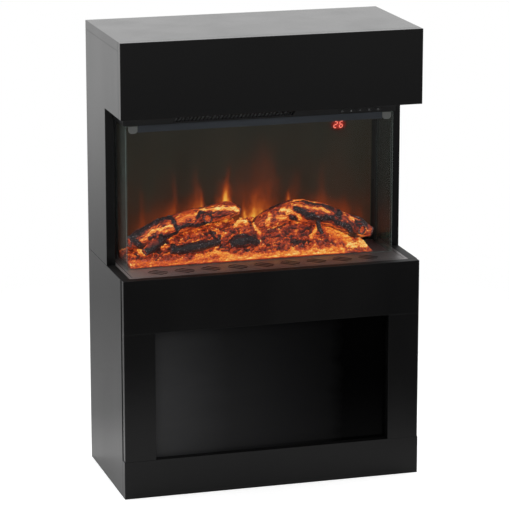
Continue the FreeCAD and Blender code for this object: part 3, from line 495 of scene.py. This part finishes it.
HEAP_MARKS_AND_PAINTED_SHADOWS = [
    (0.95, 5, ((-0.20, 90), (-0.15, 100), (-0.10, 95))), (0.90, 5, ((-0.05, 90), (0.00, 65))),
    (0.90, 7, ((-0.95, 45), (-0.90, 35))), (0.90, 5, ((0.40, 50), (0.45, 70))),
    (0.80, 13, ((0.55, 65), (0.70, 35))), (0.95, 9, ((0.70, 20), (0.90, 20))),
    (0.85, 10, ((-0.30, 5), (0.65, 10))), (0.80, 8, ((-0.50, 15), (-0.35, 25), (-0.20, 15))),
    (0.70, 8, ((-1.00, 15), (-0.70, 5), (-0.35, 5))),
    # Painted shadows: the two marks on this line lie under the left log's fork and the front branch, and
    # the last mark on the next line lies under the charcoal lump.
    (0.05, 7, ((-0.90, 40), (-0.80, 45), (-0.75, 60))), (0.05, 8, ((-0.70, 40), (-0.45, 40), (-0.35, 55))),
    (0.05, 4, ((-0.40, 80), (-0.35, 60))), (0.05, 10, ((-0.15, 50), (-0.05, 55))),
    (0.10, 5, ((0.25, 40), (0.40, 35))), (0.05, 5, ((0.90, 30), (0.95, 25)))]
DARK_THROUGHOUT = [(0.05, 8, ((0.0, 0.0), (1.0, 0.0)))]
FORK_MARKS = [(0.90, 6, ((0.45, 0.4), (1.00, 0.4))),
              (0.05, 7, ((0.00, -0.6), (0.30, -0.8), (0.60, -0.5), (1.00, 0.0)))]
KNOT_MARKS = [(0.05, 5, ((0.5, -1.0), (0.5, 1.0)))]


def line_distance(x, z, line):
    """Distance from arrays of x and z to a line of points, in millimetres."""
    nearest = np.full(len(x), 1e6)
    for (x0, z0), (x1, z1) in zip(line, line[1:]):
        dx, dz = x1 - x0, z1 - z0
        t = np.clip(((x - x0) * dx + (z - z0) * dz) / (dx * dx + dz * dz), 0.0, 1.0)
        nearest = np.minimum(nearest, np.hypot(x - x0 - t * dx, z - z0 - t * dz))
    return nearest


def marked(x, z, marks, heat, ragged):
    """Heat at places in millimetres with the marks laid over it, their edges made uneven by a noise."""
    for level, half_width, line in marks:
        uneven = 1.0 if level > 0.5 else 0.5
        reach = line_distance(x, z, line) * (1 + 0.6 * uneven * ragged) + 1.6 * uneven * ragged
        share = 0.95 * (1 - smoothstep(reach, 0.5 * half_width, 1.3 * half_width))
        heat = heat * (1 - share) + level * share
    return heat


def heap_marked(points, heat, ragged):
    """Heat at points in metres with the heap's marks and painted shadows, as they line up from the front
    left and above.
    """
    behind = points[:, 1] - BED_LOW.y
    x = (points[:, 0] - SEEN_LEFT * behind) / MM
    z = (points[:, 2] - BED_LOW.z + SEEN_RISE * behind) / MM
    marks = [(level, half_width, [(share * BED_HIGH.x / MM, height) for share, height in line])
             for level, half_width, line in HEAP_MARKS_AND_PAINTED_SHADOWS]
    return marked(x, z, marks, heat, ragged)


# ---------------------------------------------------------------- fire: logs
# The rings of a log's end, from its lip inwards: scale, and reach along the log in half radii.
CAP_RINGS = ((1.0, 0.55), (0.90, 0.9), (0.76, 0.75), (0.66, 0.2), (0.45, -0.15), (0.2, -0.25),
             (0.02, -0.25))


def band_faces(first, second, spokes):
    """Faces between two rings of vertices, each given by the number of its first vertex."""
    return [(first + j, second + j, second + (j + 1) % spokes, first + (j + 1) % spokes)
            for j in range(spokes)]


def end_rings(lip, lip_heat, axis, radius, seed):
    """Rings of a log's broken end, from its lip inwards: the places, heat and ash of each."""
    middle = lip.mean(axis=0)
    turn = np.linspace(0, 2 * math.pi, len(lip), endpoint=False)
    made = []
    for scale, reach in CAP_RINGS:
        rough = 1 + 0.10 * np.array([
            noise.noise(Vector((math.cos(a) * 3, math.sin(a) * 3, seed + reach * 5))) for a in turn])
        loop = middle + (lip - middle) * (scale * rough)[:, None]
        loop = loop + axis * reach * radius * 0.5
        inner = smoothstep(np.full(len(lip), 1 - scale), 0.18, 0.42)
        heat = inner * (0.62 + 0.2 * (rough - 1) * 10) + 0.3 * (1 - inner) * lip_heat
        made.append((loop, heat, 1 - inner))
    return made


def log_marked(marks, run, radii, flat_run, heights, heat, ragged):
    """Heat over a log with its marks, given the run and height of each place in metres."""
    length = run[-1] / MM
    placed = [(level, half_width, [(share * length, height * np.interp(share * run[-1], run, radii) / MM)
                                   for share, height in line]) for level, half_width, line in marks]
    return marked(flat_run / MM, heights / MM, placed, heat, ragged)


def log_piece(name, stations, seed, rings, spokes, lump=0.11, warmth=0.0, marks=()):
    """Charred log along (x, y, z, radius) stations in millimetres, with split bark and glowing wood."""
    path = along(stations, rings) * MM
    centres, radii = path[:, :3], path[:, 3]
    heading = np.gradient(centres, axis=0)
    heading /= np.linalg.norm(heading, axis=1)[:, None]
    side = np.cross(heading, (0.0, 0.0, 1.0))
    side /= np.linalg.norm(side, axis=1)[:, None]
    lift = np.cross(side, heading)
    run = np.concatenate([[0], np.cumsum(np.linalg.norm(np.diff(centres, axis=0), axis=1))])
    turn = np.linspace(0, 2 * math.pi, spokes, endpoint=False)
    grid_run, grid_turn = np.meshgrid(run, turn, indexing="ij")
    flat_run, flat_turn, flat_radius = grid_run.ravel(), grid_turn.ravel(), np.repeat(radii, spokes)
    ring = np.stack([np.cos(flat_turn), np.sin(flat_turn)], axis=1)
    outward = (np.cos(grid_turn)[..., None] * side[:, None, :]
               + np.sin(grid_turn)[..., None] * lift[:, None, :])
    shift = np.array([seed * 7.3, seed * 3.1, seed * 1.7])
    lumps = fractal(np.column_stack([flat_run * 24, ring * 0.9]) + shift, 3)
    warp = fractal(np.column_stack([flat_run * 34, ring * 1.4]) + shift * 3, 2)
    turned = ring + 0.35 * np.column_stack([warp, -warp])
    strand = ridged(np.column_stack([flat_run * 17, turned * 4.2]) + shift, 3)
    fibre = fractal(np.column_stack([flat_run * 60, turned * 9.0]) + shift, 3, 0.6)
    plates = fractal(np.column_stack([flat_run * 105, ring * 4.5]) + shift, 4, 0.6)
    drift = fractal(np.column_stack([flat_run * 16, ring * 1.6]) + shift * 2, 3)
    # Painted shade: the glow is scaled by how far the surface faces the front and a little up, down to
    # about a third on the log's back and underside.
    facing = smoothstep(ring[:, 0] * 0.95 + ring[:, 1] * 0.25, -0.5, 0.6)
    heat = 0.46 + 0.18 * drift + 0.50 * (strand - 0.50) + 0.28 * fibre + warmth
    heights = (outward @ np.array(SEEN_UP)).ravel() * flat_radius
    heat = log_marked(marks, run, radii, flat_run, heights, heat, plates)
    heat += (0.15 * fibre + 0.09 * plates) * (0.25 + heat)
    heat = np.clip(heat, 0, 1) * (0.35 + 0.65 * facing)
    char = 1 - smoothstep(heat, 0.10, 0.34)
    ash = char * smoothstep(plates + 0.3 * fibre, -0.1, 0.6)
    rise = lump * lumps + char * (0.07 + 0.10 * plates) + 0.05 * (strand - 0.5) + 0.035 * fibre
    offset = flat_radius * (1 + rise)
    body = centres[:, None, :] + offset.reshape(rings, spokes, 1) * outward
    vertices = [body.reshape(-1, 3)]
    heats, ashes = [heat], [ash]
    faces = [face for i in range(rings - 1) for face in band_faces(i * spokes, (i + 1) * spokes, spokes)]
    count = rings * spokes
    for end, direction in ((0, -1), (rings - 1, 1)):
        lip_heat = heat.reshape(rings, spokes)[end]
        previous = end * spokes
        for loop, loop_heat, loop_ash in end_rings(body[end], lip_heat, heading[end] * direction,
                                                   radii[end], seed):
            vertices.append(loop)
            heats.append(loop_heat)
            ashes.append(loop_ash)
            faces += [face[::direction] for face in band_faces(previous, count, spokes)]
            previous = count
            count += spokes
        faces.append(tuple(range(previous, previous + spokes))[::direction])
    made = mesh_object(name, np.vstack(vertices), faces, MATERIALS["log_resin"])
    colour_layer(made, "ember_level", [np.concatenate(heats), np.concatenate(ashes)])
    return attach(made, "cabinet")


# Paths as (x, y, z, radius) in millimetres.  All but the front branch's repeat the part's source.
LEFT_LOG = [(-316, -20, 604, 13), (-296, -16, 606, 21), (-262, -12, 616, 25), (-196, -4, 637, 23),
            (-120, 4, 651, 21), (-62, 9, 659, 20), (-36, 11, 657, 11)]
RIGHT_LOG = [(6, 8, 611, 13), (28, 8, 620, 24), (97, 4, 648, 24), (150, 2, 642, 27),
             (210, -6, 623, 23), (262, -14, 600, 24), (298, -20, 588, 12)]
FRONT_BRANCH = [(-217, -43, 582, 10), (-192, -44, 581, 10), (-140, -44, 588, 11), (-98, -40, 592, 6)]
CHARCOAL = [(-66, -36, 585, 9), (-44, -36, 591, 15), (-22, -34, 590, 16), (2, -32, 581, 8)]
# Short pieces that stand out from the logs: name, marks and path.
STUBS = [("left_log_knot", KNOT_MARKS, [(-120, -4, 648, 11), (-122, -20, 650, 12), (-124, -30, 651, 11)]),
         ("right_log_knot", (), [(254, -22, 604, 12), (264, -34, 601, 13), (268, -41, 600, 12)]),
         ("left_log_fork", FORK_MARKS, [(-238, -20, 606, 13), (-262, -34, 594, 13), (-284, -42, 582, 9)]),
         ("right_log_fork", DARK_THROUGHOUT, [(160, -26, 622, 5), (161, -36, 608, 5), (166, -43, 597, 4)])]


def build_logs():
    """Main logs, their knots and forks, and the two small charred pieces."""
    left = log_piece("left_log_bark", LEFT_LOG, 1, 380, 150, marks=LEFT_MARKS)
    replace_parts(left, "left_log")
    right = log_piece("right_log_bark", RIGHT_LOG, 4, 400, 150, marks=RIGHT_MARKS)
    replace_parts(right, "right_log")
    branch = log_piece("front_branch_bark", FRONT_BRANCH, 7, 150, 64, lump=0.16, warmth=-0.42,
                       marks=DARK_THROUGHOUT)
    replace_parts(branch, "small_logs")
    log_piece("charcoal_lump", CHARCOAL, 9, 90, 64, lump=0.24, warmth=-0.38, marks=DARK_THROUGHOUT)
    for index, (name, marks, stations) in enumerate(STUBS):
        log_piece(name, stations, 12 + index, 60, 60, lump=0.16, warmth=-0.22, marks=marks)


# ---------------------------------------------------------------- fire: ember bed
BED_LOW, BED_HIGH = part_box("ember_bed")
# The heap's greatest height in millimetres along its width, as shares of the half width.
CREST = [(-1.0, 16), (-0.8, 46), (-0.6, 60), (-0.05, 80), (0.2, 80), (0.5, 66), (0.78, 44), (0.87, 16),
         (0.905, 1.5), (1.0, 1.2)]
HEAP_END = (0.875, 0.91)    # the embers thin out here, as shares of the half width
# The share of that height from the front edge to the back.
PROFILE = [(0.0, 0.06), (0.17, 0.30), (0.48, 0.90), (0.84, 1.0), (1.0, 0.8)]
BED_STEP = 0.0011
CRUST_THINNEST = 0.0012
SKIRT_GAP = 0.0002          # the crust's floor stands this far over the CAD bed's


def build_ember_bed():
    """Heap of embers as one closed crust: a rough, cellular top over flat walls and floor."""
    columns = int((BED_HIGH.x - BED_LOW.x) / BED_STEP)
    rows = int((BED_HIGH.y - BED_LOW.y) / BED_STEP)
    xs = np.linspace(BED_LOW.x, BED_HIGH.x, columns)
    ys = np.linspace(BED_LOW.y, BED_HIGH.y, rows)
    crest = np.interp(xs / BED_HIGH.x, *zip(*CREST)) * MM
    profile = np.interp((ys - BED_LOW.y) / (BED_HIGH.y - BED_LOW.y), *zip(*PROFILE))
    grid_x, grid_y = np.meshgrid(xs, ys, indexing="ij")
    base = crest[:, None] * profile[None, :]
    points = np.column_stack([grid_x.ravel(), grid_y.ravel(), base.ravel()])
    drift = fractal(points * 26 + 3.0, 3)
    warped = points * 85 + np.column_stack([drift, np.zeros(len(drift)), drift]) * 0.9
    near = cells(warped)
    chunk = near[:, 1] - near[:, 0]
    tilted = np.column_stack([points[:, 0] + 0.4 * points[:, 1], points[:, 1], points[:, 2]])
    swirl = np.column_stack([drift, drift, drift]) * 1.5
    fibre = fractal(tilted * np.array([70, 210, 210]) + swirl, 4, 0.62)
    straw = ridged(tilted * np.array([55, 170, 170]) + 2.0, 3)
    depth_share = (points[:, 1] - BED_LOW.y) / (BED_HIGH.y - BED_LOW.y)
    rim = np.minimum(1.0, depth_share * 12)
    rise = 0.003 * smoothstep(chunk, 0.0, 0.5) + 0.0036 * fibre + 0.005 * (straw - 0.4) + 0.004 * drift
    rise *= (0.25 + 0.75 * rim) * (1 - smoothstep(points[:, 0] / BED_HIGH.x, *HEAP_END))
    heat = (0.41 + 0.20 * drift + 0.36 * fibre + 0.30 * (straw - 0.47)
            - 0.05 * smoothstep(chunk, 0.05, 0.6))
    surface_points = points + np.array([0.0, 0.0, BED_LOW.z])
    heat = heap_marked(surface_points, heat, fibre)
    heat += (0.16 * fibre + 0.14 * (straw - 0.47)) * (0.25 + heat * (1.6 - heat))
    heat *= 1 - smoothstep(points[:, 0] / BED_HIGH.x, *HEAP_END)
    top = BED_LOW.z + np.maximum(base.ravel() + rise, CRUST_THINNEST)
    vertices = np.column_stack([points[:, 0], points[:, 1], np.minimum(top, BED_HIGH.z)])

    def at(i, j):
        return i * rows + j

    faces = grid_faces(columns, rows)
    border = ([at(i, 0) for i in range(columns)] + [at(columns - 1, j) for j in range(1, rows)]
              + [at(i, rows - 1) for i in range(columns - 2, -1, -1)]
              + [at(0, j) for j in range(rows - 2, 0, -1)])
    first = len(vertices)
    skirt = vertices[border].copy()
    skirt[:, 2] = BED_LOW.z + SKIRT_GAP
    for k in range(len(border)):
        n = (k + 1) % len(border)
        faces.append((border[k], first + k, first + n, border[n]))
    faces.append(tuple(range(first + len(border) - 1, first - 1, -1)))
    made = mesh_object("ember_crust", np.vstack([vertices, skirt]), faces, MATERIALS["ember_resin"])
    ash = smoothstep(chunk, 0.2, 0.8)
    heats = np.concatenate([heat, 0.3 * heat[border]])
    colour_layer(made, "ember_level", [heats, np.concatenate([ash, ash[border]])])
    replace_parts(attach(made, "cabinet"), "ember_bed")
    return xs, ys, vertices[:, 2].reshape(columns, rows)


CHIP_COUNT = 170
CHIP_SEED = 11
CHIP_LIFT = 0.0005          # a chip's middle stands this far over the crust


def build_ember_chips(xs, ys, tops):
    """Loose chips of charcoal and ember scattered over the heap, in one piece."""
    random = np.random.default_rng(CHIP_SEED)
    ball = bmesh.new()
    bmesh.ops.create_icosphere(ball, subdivisions=2, radius=1.0)
    template = np.array([v.co[:] for v in ball.verts])
    template_faces = np.array([[v.index for v in f.verts] for f in ball.faces])
    ball.free()
    vertices, faces, heats, ashes = [], [], [], []
    for index in range(CHIP_COUNT):
        i = random.integers(12, int(0.93 * len(xs)))
        j = int(8 + (len(ys) - 20) * random.random() ** 1.3)
        size = (0.0022 + 0.0042 * random.random() ** 2) * np.array([1.5, 0.9, 0.7])
        if j * BED_STEP < size[0] + 0.003 or tops[i, j] + size[0] > BED_HIGH.z:
            continue
        own = Vector((index, 0, 0))
        crumple = 1 + 0.35 * np.array([noise.noise(Vector(p * 1.7) + own) for p in template])
        heading = Matrix.Rotation(random.random() * 6.28, 3, "Z")
        tilt = Matrix.Rotation(random.normal() * 0.5, 3, "Y")
        spin = np.array(heading @ tilt)
        shape = (template * crumple[:, None] * size) @ spin.T
        vertices.append(shape + np.array([xs[i], ys[j], tops[i, j] + CHIP_LIFT]))
        faces.append(template_faces + len(template) * (len(vertices) - 1))
        hot = random.random()
        plain = np.full(len(template), 0.12 if hot < 0.25 else 0.30 + 0.35 * hot)
        heats.append(heap_marked(vertices[-1], plain, crumple - 1) + 0.4 * (crumple - 1))
        ashes.append(np.full(len(template), 0.3 + 0.6 * random.random()))
    made = mesh_object("ember_chips", np.vstack(vertices), np.vstack(faces), MATERIALS["ember_resin"],
                       smooth=False)
    colour_layer(made, "ember_level", [np.concatenate(heats), np.concatenate(ashes)])
    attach(made, "cabinet")


# ---------------------------------------------------------------- fire: flames on the screen
SCREEN_LOW, SCREEN_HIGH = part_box("flame_screen")
FILM_STEP = 0.0016
FILM_MARGIN = 0.002         # the flame picture stays this far inside the screen's edges
FILM_HEADROOM = 0.03        # and this far below its top
FILM_GAP = 0.0006           # and stands this far in front of it
# Each tongue: centre x, foot z, tip z, half width at the foot, strength, lean at the tip, in millimetres.
TONGUES = [
    (-257, 615, 745, 8, 0.12, 0), (-253, 590, 662, 34, 0.22, 4), (-225, 600, 690, 22, 0.14, 0),
    (-180, 625, 762, 9, 0.19, 0), (-190, 610, 690, 26, 0.36, 4), (-122, 640, 768, 12, 0.22, 4),
    (-109, 640, 712, 7, 0.60, 0), (-132, 630, 700, 22, 0.40, 4), (-43, 655, 766, 9, 0.42, 2),
    (-47, 650, 722, 10, 0.92, 2), (-50, 640, 735, 17, 0.50, 3), (50, 600, 842, 34, 0.20, 4),
    (14, 600, 790, 42, 0.13, 8), (72, 600, 762, 13, 0.22, 0), (-10, 600, 770, 18, 0.12, 0),
    (31, 590, 700, 16, 0.86, 2), (5, 590, 682, 5, 0.74, 0), (52, 600, 690, 15, 0.70, 4),
    (18, 580, 668, 22, 0.52, 0), (135, 640, 748, 16, 0.16, 0), (119, 650, 692, 8, 0.64, 2),
    (205, 620, 768, 11, 0.13, 0), (190, 620, 684, 46, 0.26, 0), (240, 600, 664, 40, 0.26, 0),
    (268, 590, 676, 10, 0.24, -2), (300, 570, 640, 14, 0.16, 0)]


def flame_level(x, z):
    """Brightness of the flame picture at arrays of x and z in millimetres."""
    points = np.column_stack([x * 0.018, z * 0.010, np.zeros(len(x))])
    waver = fractal(points, 3)
    curl = fractal(points * 2.7 + 7.0, 3)
    dark = np.ones(len(x))
    for centre, foot, tip, width, strength, lean in TONGUES:
        rise = np.clip((z - foot) / (tip - foot), -1.0, 1.6)
        reach = np.clip(rise, 0.0, 1.0)
        middle = centre + lean * reach ** 1.5 + waver * (3 + 11 * reach)
        spread = width * (0.72 + 0.28 * (1 - reach)) * (1 + 0.25 * curl)
        body = np.exp(-np.abs((x - middle) / spread) ** 1.7)
        fade = (1 - smoothstep(rise, 0.0, 1.05)) * smoothstep(rise, -1.0, 0.05)
        dark *= 1 - np.clip(1.2 * strength * body * fade * (1 + 0.2 * curl), 0, 0.97)
    haze = 0.075 * np.exp(-np.clip(z - 640, 0, None) / 90) * (0.8 + 0.5 * waver)
    return np.clip(1 - dark + haze, 0, 1)


def light_sheet(name, x_range, z_range, y, level, material):
    """Flat grid of light at depth y, facing the front, with its brightness from a function."""
    columns = int((x_range[1] - x_range[0]) / FILM_STEP) + 1
    rows = int((z_range[1] - z_range[0]) / FILM_STEP) + 1
    xs, zs = np.linspace(*x_range, columns), np.linspace(*z_range, rows)
    grid_x, grid_z = np.meshgrid(xs, zs, indexing="ij")
    vertices = np.column_stack([grid_x.ravel(), np.full(grid_x.size, y), grid_z.ravel()])
    made = mesh_object(name, vertices, grid_faces(columns, rows), material)
    value = level(grid_x.ravel() / MM, grid_z.ravel() / MM)
    colour_layer(made, "glow", [value, value, value])
    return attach(made, "cabinet")


def build_flames():
    """The flame picture: a film of light just in front of the screen."""
    film = light_film("flame_light", FLAME_STOPS)
    light_sheet("flame_picture", (SCREEN_LOW.x + FILM_MARGIN, SCREEN_HIGH.x - FILM_MARGIN),
                (SCREEN_LOW.z + FILM_MARGIN, SCREEN_HIGH.z - FILM_HEADROOM), SCREEN_LOW.y - FILM_GAP,
                flame_level, film)


# ---------------------------------------------------------------- display and key marks
# Sizes of the numerals in millimetres; SLANT is their lean per unit of height.
DIGIT_HEIGHT = 18.5
DIGIT_WIDTH = 10.0
DIGIT_PITCH = 14.6
SEGMENT = 2.7
SEGMENT_GAP = 0.35
SLANT = 0.16
DIGIT_RAISE = 0.6
DIGIT_BACK, DIGIT_FRONT = 0.3, 1.2    # how far the digits' back and front stand before the lens
HALO_FRONT = 0.8
HALO_REACH = (19, 13.5)         # the red glow's half width and half height
REFLECTION_PLACE = (12, -27)         # a painted reflection of the glow, right of the digits and below them
REFLECTION_REACH = (20, 10)
HALO_SIDE, HALO_BELOW, HALO_ABOVE = 45, 46, 26    # how far its film reaches from the digits' middle
# Segments lit for each numeral: top, upper right, lower right, bottom, lower left, upper left, middle.
NUMERALS = {"2": (1, 1, 0, 1, 1, 0, 1), "6": (1, 0, 1, 1, 1, 1, 1)}


def segment_outline(x0, z0, x1, z1):
    """Pointed bar from one end to the other, as (x, z) corners in millimetres."""
    dx, dz = x1 - x0, z1 - z0
    length = math.hypot(dx, dz)
    ux, uz = dx / length, dz / length
    half = SEGMENT / 2
    gap = SEGMENT_GAP
    x0, z0, x1, z1 = x0 + ux * gap, z0 + uz * gap, x1 - ux * gap, z1 - uz * gap
    return [(x0, z0), (x0 + (ux - uz) * half, z0 + (uz + ux) * half),
            (x1 - (ux + uz) * half, z1 - (uz - ux) * half), (x1, z1),
            (x1 - (ux - uz) * half, z1 - (uz + ux) * half), (x0 + (ux + uz) * half, z0 + (uz - ux) * half)]


def digit_outlines(numeral):
    """Outlines of one numeral's lit segments about its own centre."""
    w, h = (DIGIT_WIDTH - SEGMENT) / 2, (DIGIT_HEIGHT - SEGMENT) / 2
    bars = [(-w, h, w, h), (w, h, w, 0), (w, 0, w, -h), (-w, -h, w, -h), (-w, 0, -w, -h), (-w, h, -w, 0),
            (-w, 0, w, 0)]
    return [segment_outline(*bar) for bar, lit in zip(bars, NUMERALS[numeral]) if lit]


def prism_mesh(name, outlines, back, front, material):
    """Flat shapes in the XZ plane given thickness along Y, joined in one object; sizes in metres."""
    shape = bmesh.new()
    for outline in outlines:
        near = [shape.verts.new((x, front, z)) for x, z in outline]
        far = [shape.verts.new((x, back, z)) for x, z in outline]
        shape.faces.new(near)
        shape.faces.new(far[::-1])
        for k in range(len(outline)):
            n = (k + 1) % len(outline)
            shape.faces.new((near[k], far[k], far[n], near[n]))
    bmesh.ops.recalc_face_normals(shape, faces=shape.faces)
    mesh = bpy.data.meshes.new(name)
    shape.to_mesh(mesh)
    shape.free()
    mesh.materials.append(material)
    return linked(name, mesh)


def front_middle(low, high):
    """The x and z of a box's middle."""
    return (low.x + high.x) / 2, (low.z + high.z) / 2


def build_display():
    """Two slanted red numerals on the display lens, the soft glow round them, and a faint painted
    reflection of that glow.
    """
    low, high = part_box("display_module")
    middle_x, middle_z = front_middle(low, high)
    middle_z += DIGIT_RAISE * MM
    outlines = []
    for numeral, offset in (("2", -DIGIT_PITCH / 2), ("6", DIGIT_PITCH / 2)):
        for outline in digit_outlines(numeral):
            outlines.append([(middle_x + (x + offset + SLANT * z) * MM, middle_z + z * MM)
                             for x, z in outline])
    face = low.y
    digits = prism_mesh("display_digits", outlines, face - DIGIT_BACK * MM, face - DIGIT_FRONT * MM,
                        lit_segment())
    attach(digits, "cabinet")
    glow_stops = [(0.0, (0.05, 0.004, 0.003)), (0.5, (0.22, 0.010, 0.006)), (1.0, (0.55, 0.03, 0.02))]

    def halo(x, z):
        right, up = x - middle_x / MM, z - middle_z / MM
        across, rise = right / HALO_REACH[0], up / HALO_REACH[1]
        reflection_across = (right - REFLECTION_PLACE[0]) / REFLECTION_REACH[0]
        reflection_rise = (up - REFLECTION_PLACE[1]) / REFLECTION_REACH[1]
        # Painted reflection: a faint second glow, right of the digits and below them.
        painted_reflection = np.exp(-(reflection_across ** 2 + reflection_rise ** 2))
        return 0.85 * np.exp(-(across ** 2 + rise ** 2) ** 1.6) + 0.07 * painted_reflection

    light_sheet("display_glow", (middle_x - HALO_SIDE * MM, middle_x + HALO_SIDE * MM),
                (middle_z - HALO_BELOW * MM, middle_z + HALO_ABOVE * MM),
                face - HALO_FRONT * MM, halo, light_film("display_light", glow_stops))


def ring_outline(radius, thickness, start, end, centre=(0, 0), steps=20):
    """Open ring of even thickness from one angle to another, in degrees, in millimetres."""
    angles = [math.radians(start + (end - start) * k / steps) for k in range(steps + 1)]
    outer = [(centre[0] + radius * math.cos(a), centre[1] + radius * math.sin(a)) for a in angles]
    hole = radius - thickness
    inner = [(centre[0] + hole * math.cos(a), centre[1] + hole * math.sin(a)) for a in angles]
    return outer + inner[::-1]


def bar_outline(x0, z0, x1, z1):
    """Upright rectangle from one corner to the opposite one."""
    return [(x0, z0), (x1, z0), (x1, z1), (x0, z1)]


def icon_outlines():
    """Generic marks for the five keys: power, flame, low heat, high heat and timer."""
    power = [ring_outline(2.1, 0.6, 125, 415), bar_outline(-0.3, 0.4, 0.3, 2.5)]
    flame = [(0.1, 2.5), (1.5, 0.2), (1.5, -1.0), (0.8, -2.0), (-0.8, -2.0), (-1.5, -1.0), (-1.4, 0.3),
             (-0.6, 0.0)]
    high_heat = [bar_outline(x - 0.3, -1.9, x + 0.3, 1.9) for x in (-1.5, 0.0, 1.5)]
    low_heat = [bar_outline(-2.2, -0.35, 2.2, 0.35), bar_outline(-0.35, 0.8, 0.35, 2.0)]
    timer = [ring_outline(2.2, 0.5, 0, 350), bar_outline(-0.25, -0.1, 0.25, 1.5),
             bar_outline(0.25, -0.1, 1.3, 0.35)]
    return [power, [flame], low_heat, high_heat, timer]


MARK_SCALE = 1.15 * MM      # the outlines above are in millimetres and are drawn this much larger
MARK_BACK, MARK_FRONT = 0.3, 0.2    # how deep a mark sits in its key, and how far it stands out


def build_key_marks():
    """A small pale mark on each key, which travels with it."""
    for index, outlines in enumerate(icon_outlines(), start=1):
        low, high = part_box("button_" + str(index))
        middle_x, middle_z = front_middle(low, high)
        placed = [[(middle_x + x * MARK_SCALE, middle_z + z * MARK_SCALE) for x, z in outline]
                  for outline in outlines]
        mark = prism_mesh("key_mark_" + str(index), placed, low.y + MARK_BACK * MM, low.y - MARK_FRONT * MM,
                          ICON_MATERIAL)
        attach(mark, "button_" + str(index))


# ---------------------------------------------------------------- studio
# The camera's place in metres, its angles in radians and its focal length in millimetres.
CAMERA_PLACE = (-1.9077, -6.4999, 2.2436)
CAMERA_YAW = 0.28626
CAMERA_PITCH = 0.24595
CAMERA_LENS = 199.31


def build_camera():
    """The camera that stands where the photograph was taken from."""
    data = bpy.data.cameras.new("camera")
    data.lens = CAMERA_LENS
    data.sensor_width = 36.0
    camera = linked("camera", data)
    camera.location = CAMERA_PLACE
    camera.rotation_euler = (math.pi / 2 - CAMERA_PITCH, 0.0, -CAMERA_YAW)
    bpy.context.scene.camera = camera


# Studio brightness by height of the direction: behind the set, and on the viewer's side.
BEHIND = [(-1.0, 0.25), (-0.27, 0.30), (-0.235, 0.42), (-0.19, 1.02), (0.0, 1.15), (0.35, 1.18),
          (1.0, 1.25)]
VIEWER = [(-1.0, 0.01), (-0.24, 0.01), (-0.195, 0.50), (-0.15, 0.72), (0.1, 0.28), (0.6, 0.9), (1.0, 1.0)]


def brightness(tree, height, steps):
    """Grey level by the height of a direction, from -1 straight down to 1 straight up."""
    place = remap(tree, height, -1.0, 1.0, 0.0, 1.0)
    stops = [((z + 1) / 2, (level / 2, level / 2, level / 2)) for z, level in steps]
    return calc(tree, "MULTIPLY", ramp(tree, place, stops), 2.0)


def build_world():
    """White studio, bright behind and overhead and mostly dark on the viewer's side of the set."""
    world = bpy.data.worlds.new("studio")
    bpy.context.scene.world = world
    world.use_nodes = True
    tree = world.node_tree
    tree.nodes.clear()
    direction = add(tree, "TexCoord").outputs["Generated"]
    parts = add(tree, "SeparateXYZ", {"Vector": direction})
    front = remap(tree, parts.outputs["Y"], -0.5, 0.0, 1.0, 0.0, smooth=True)
    height = parts.outputs["Z"]
    sides = {0: front, 2: brightness(tree, height, BEHIND), 3: brightness(tree, height, VIEWER)}
    level = add(tree, "Mix", sides, data_type="FLOAT").outputs[0]
    seen = add(tree, "LightPath").outputs["Is Camera Ray"]
    final = add(tree, "Mix", {0: seen, 2: level, 3: 1.0}, data_type="FLOAT").outputs[0]
    background = add(tree, "Background", {"Color": (1, 1, 1, 1), "Strength": final})
    add(tree, "OutputWorld", {"Surface": background.outputs[0]})


FLOOR_HALF = 2.5


def build_floor():
    """Pale sweep under the object that thins out into the white of the studio."""
    material, tree = new_material("pale_sweep")
    where = metres(tree)
    parts = add(tree, "SeparateXYZ", {"Vector": where})
    reach = add(tree, "VectorMath", {0: where}, operation="LENGTH").outputs["Value"]
    far = remap(tree, reach, 0.55, 1.9, 1.0, 0.0)
    across = calc(tree, "MULTIPLY", parts.outputs["X"], 0.6)
    slant = calc(tree, "MULTIPLY_ADD", parts.outputs["Y"], -0.8, across)
    near_edge = remap(tree, slant, 0.35, 1.2, 1.0, 0.0, smooth=True)
    both = calc(tree, "MULTIPLY", far, near_edge)
    rear = remap(tree, parts.outputs["Y"], 0.15, 0.6, 1.0, 0.45, smooth=True)
    share = calc(tree, "MULTIPLY", both, rear)
    paper = ramp(tree, noise_at(tree, where, 4.0), [(0.3, (0.90, 0.90, 0.90)), (0.7, (0.93, 0.93, 0.93))])
    seen = add(tree, "LightPath").outputs["Is Camera Ray"]
    lift = remap(tree, seen, 0.0, 1.0, 0.0, 0.5)
    sockets = {"Base Color": paper, "Roughness": 0.9, "Specular IOR Level": 0.0,
               "Emission Color": (1, 1, 1, 1), "Emission Strength": lift}
    sweep = add(tree, "BsdfPrincipled", sockets).outputs[0]
    clear = add(tree, "BsdfTransparent").outputs[0]
    output(tree, mix_shaders(tree, share, clear, sweep))
    corners = [(x * FLOOR_HALF, y * FLOOR_HALF, 0) for x, y in ((-1, -1), (1, -1), (1, 1), (-1, 1))]
    floor = mesh_object("floor", corners, [(0, 1, 2, 3)], material)


def main():
    bpy.context.scene.view_settings.view_transform = "Standard"
    dress_cad_nodes()
    build_logs()
    build_ember_chips(*build_ember_bed())
    build_flames()
    build_display()
    build_key_marks()
    build_camera()
    build_world()
    build_floor()


main()
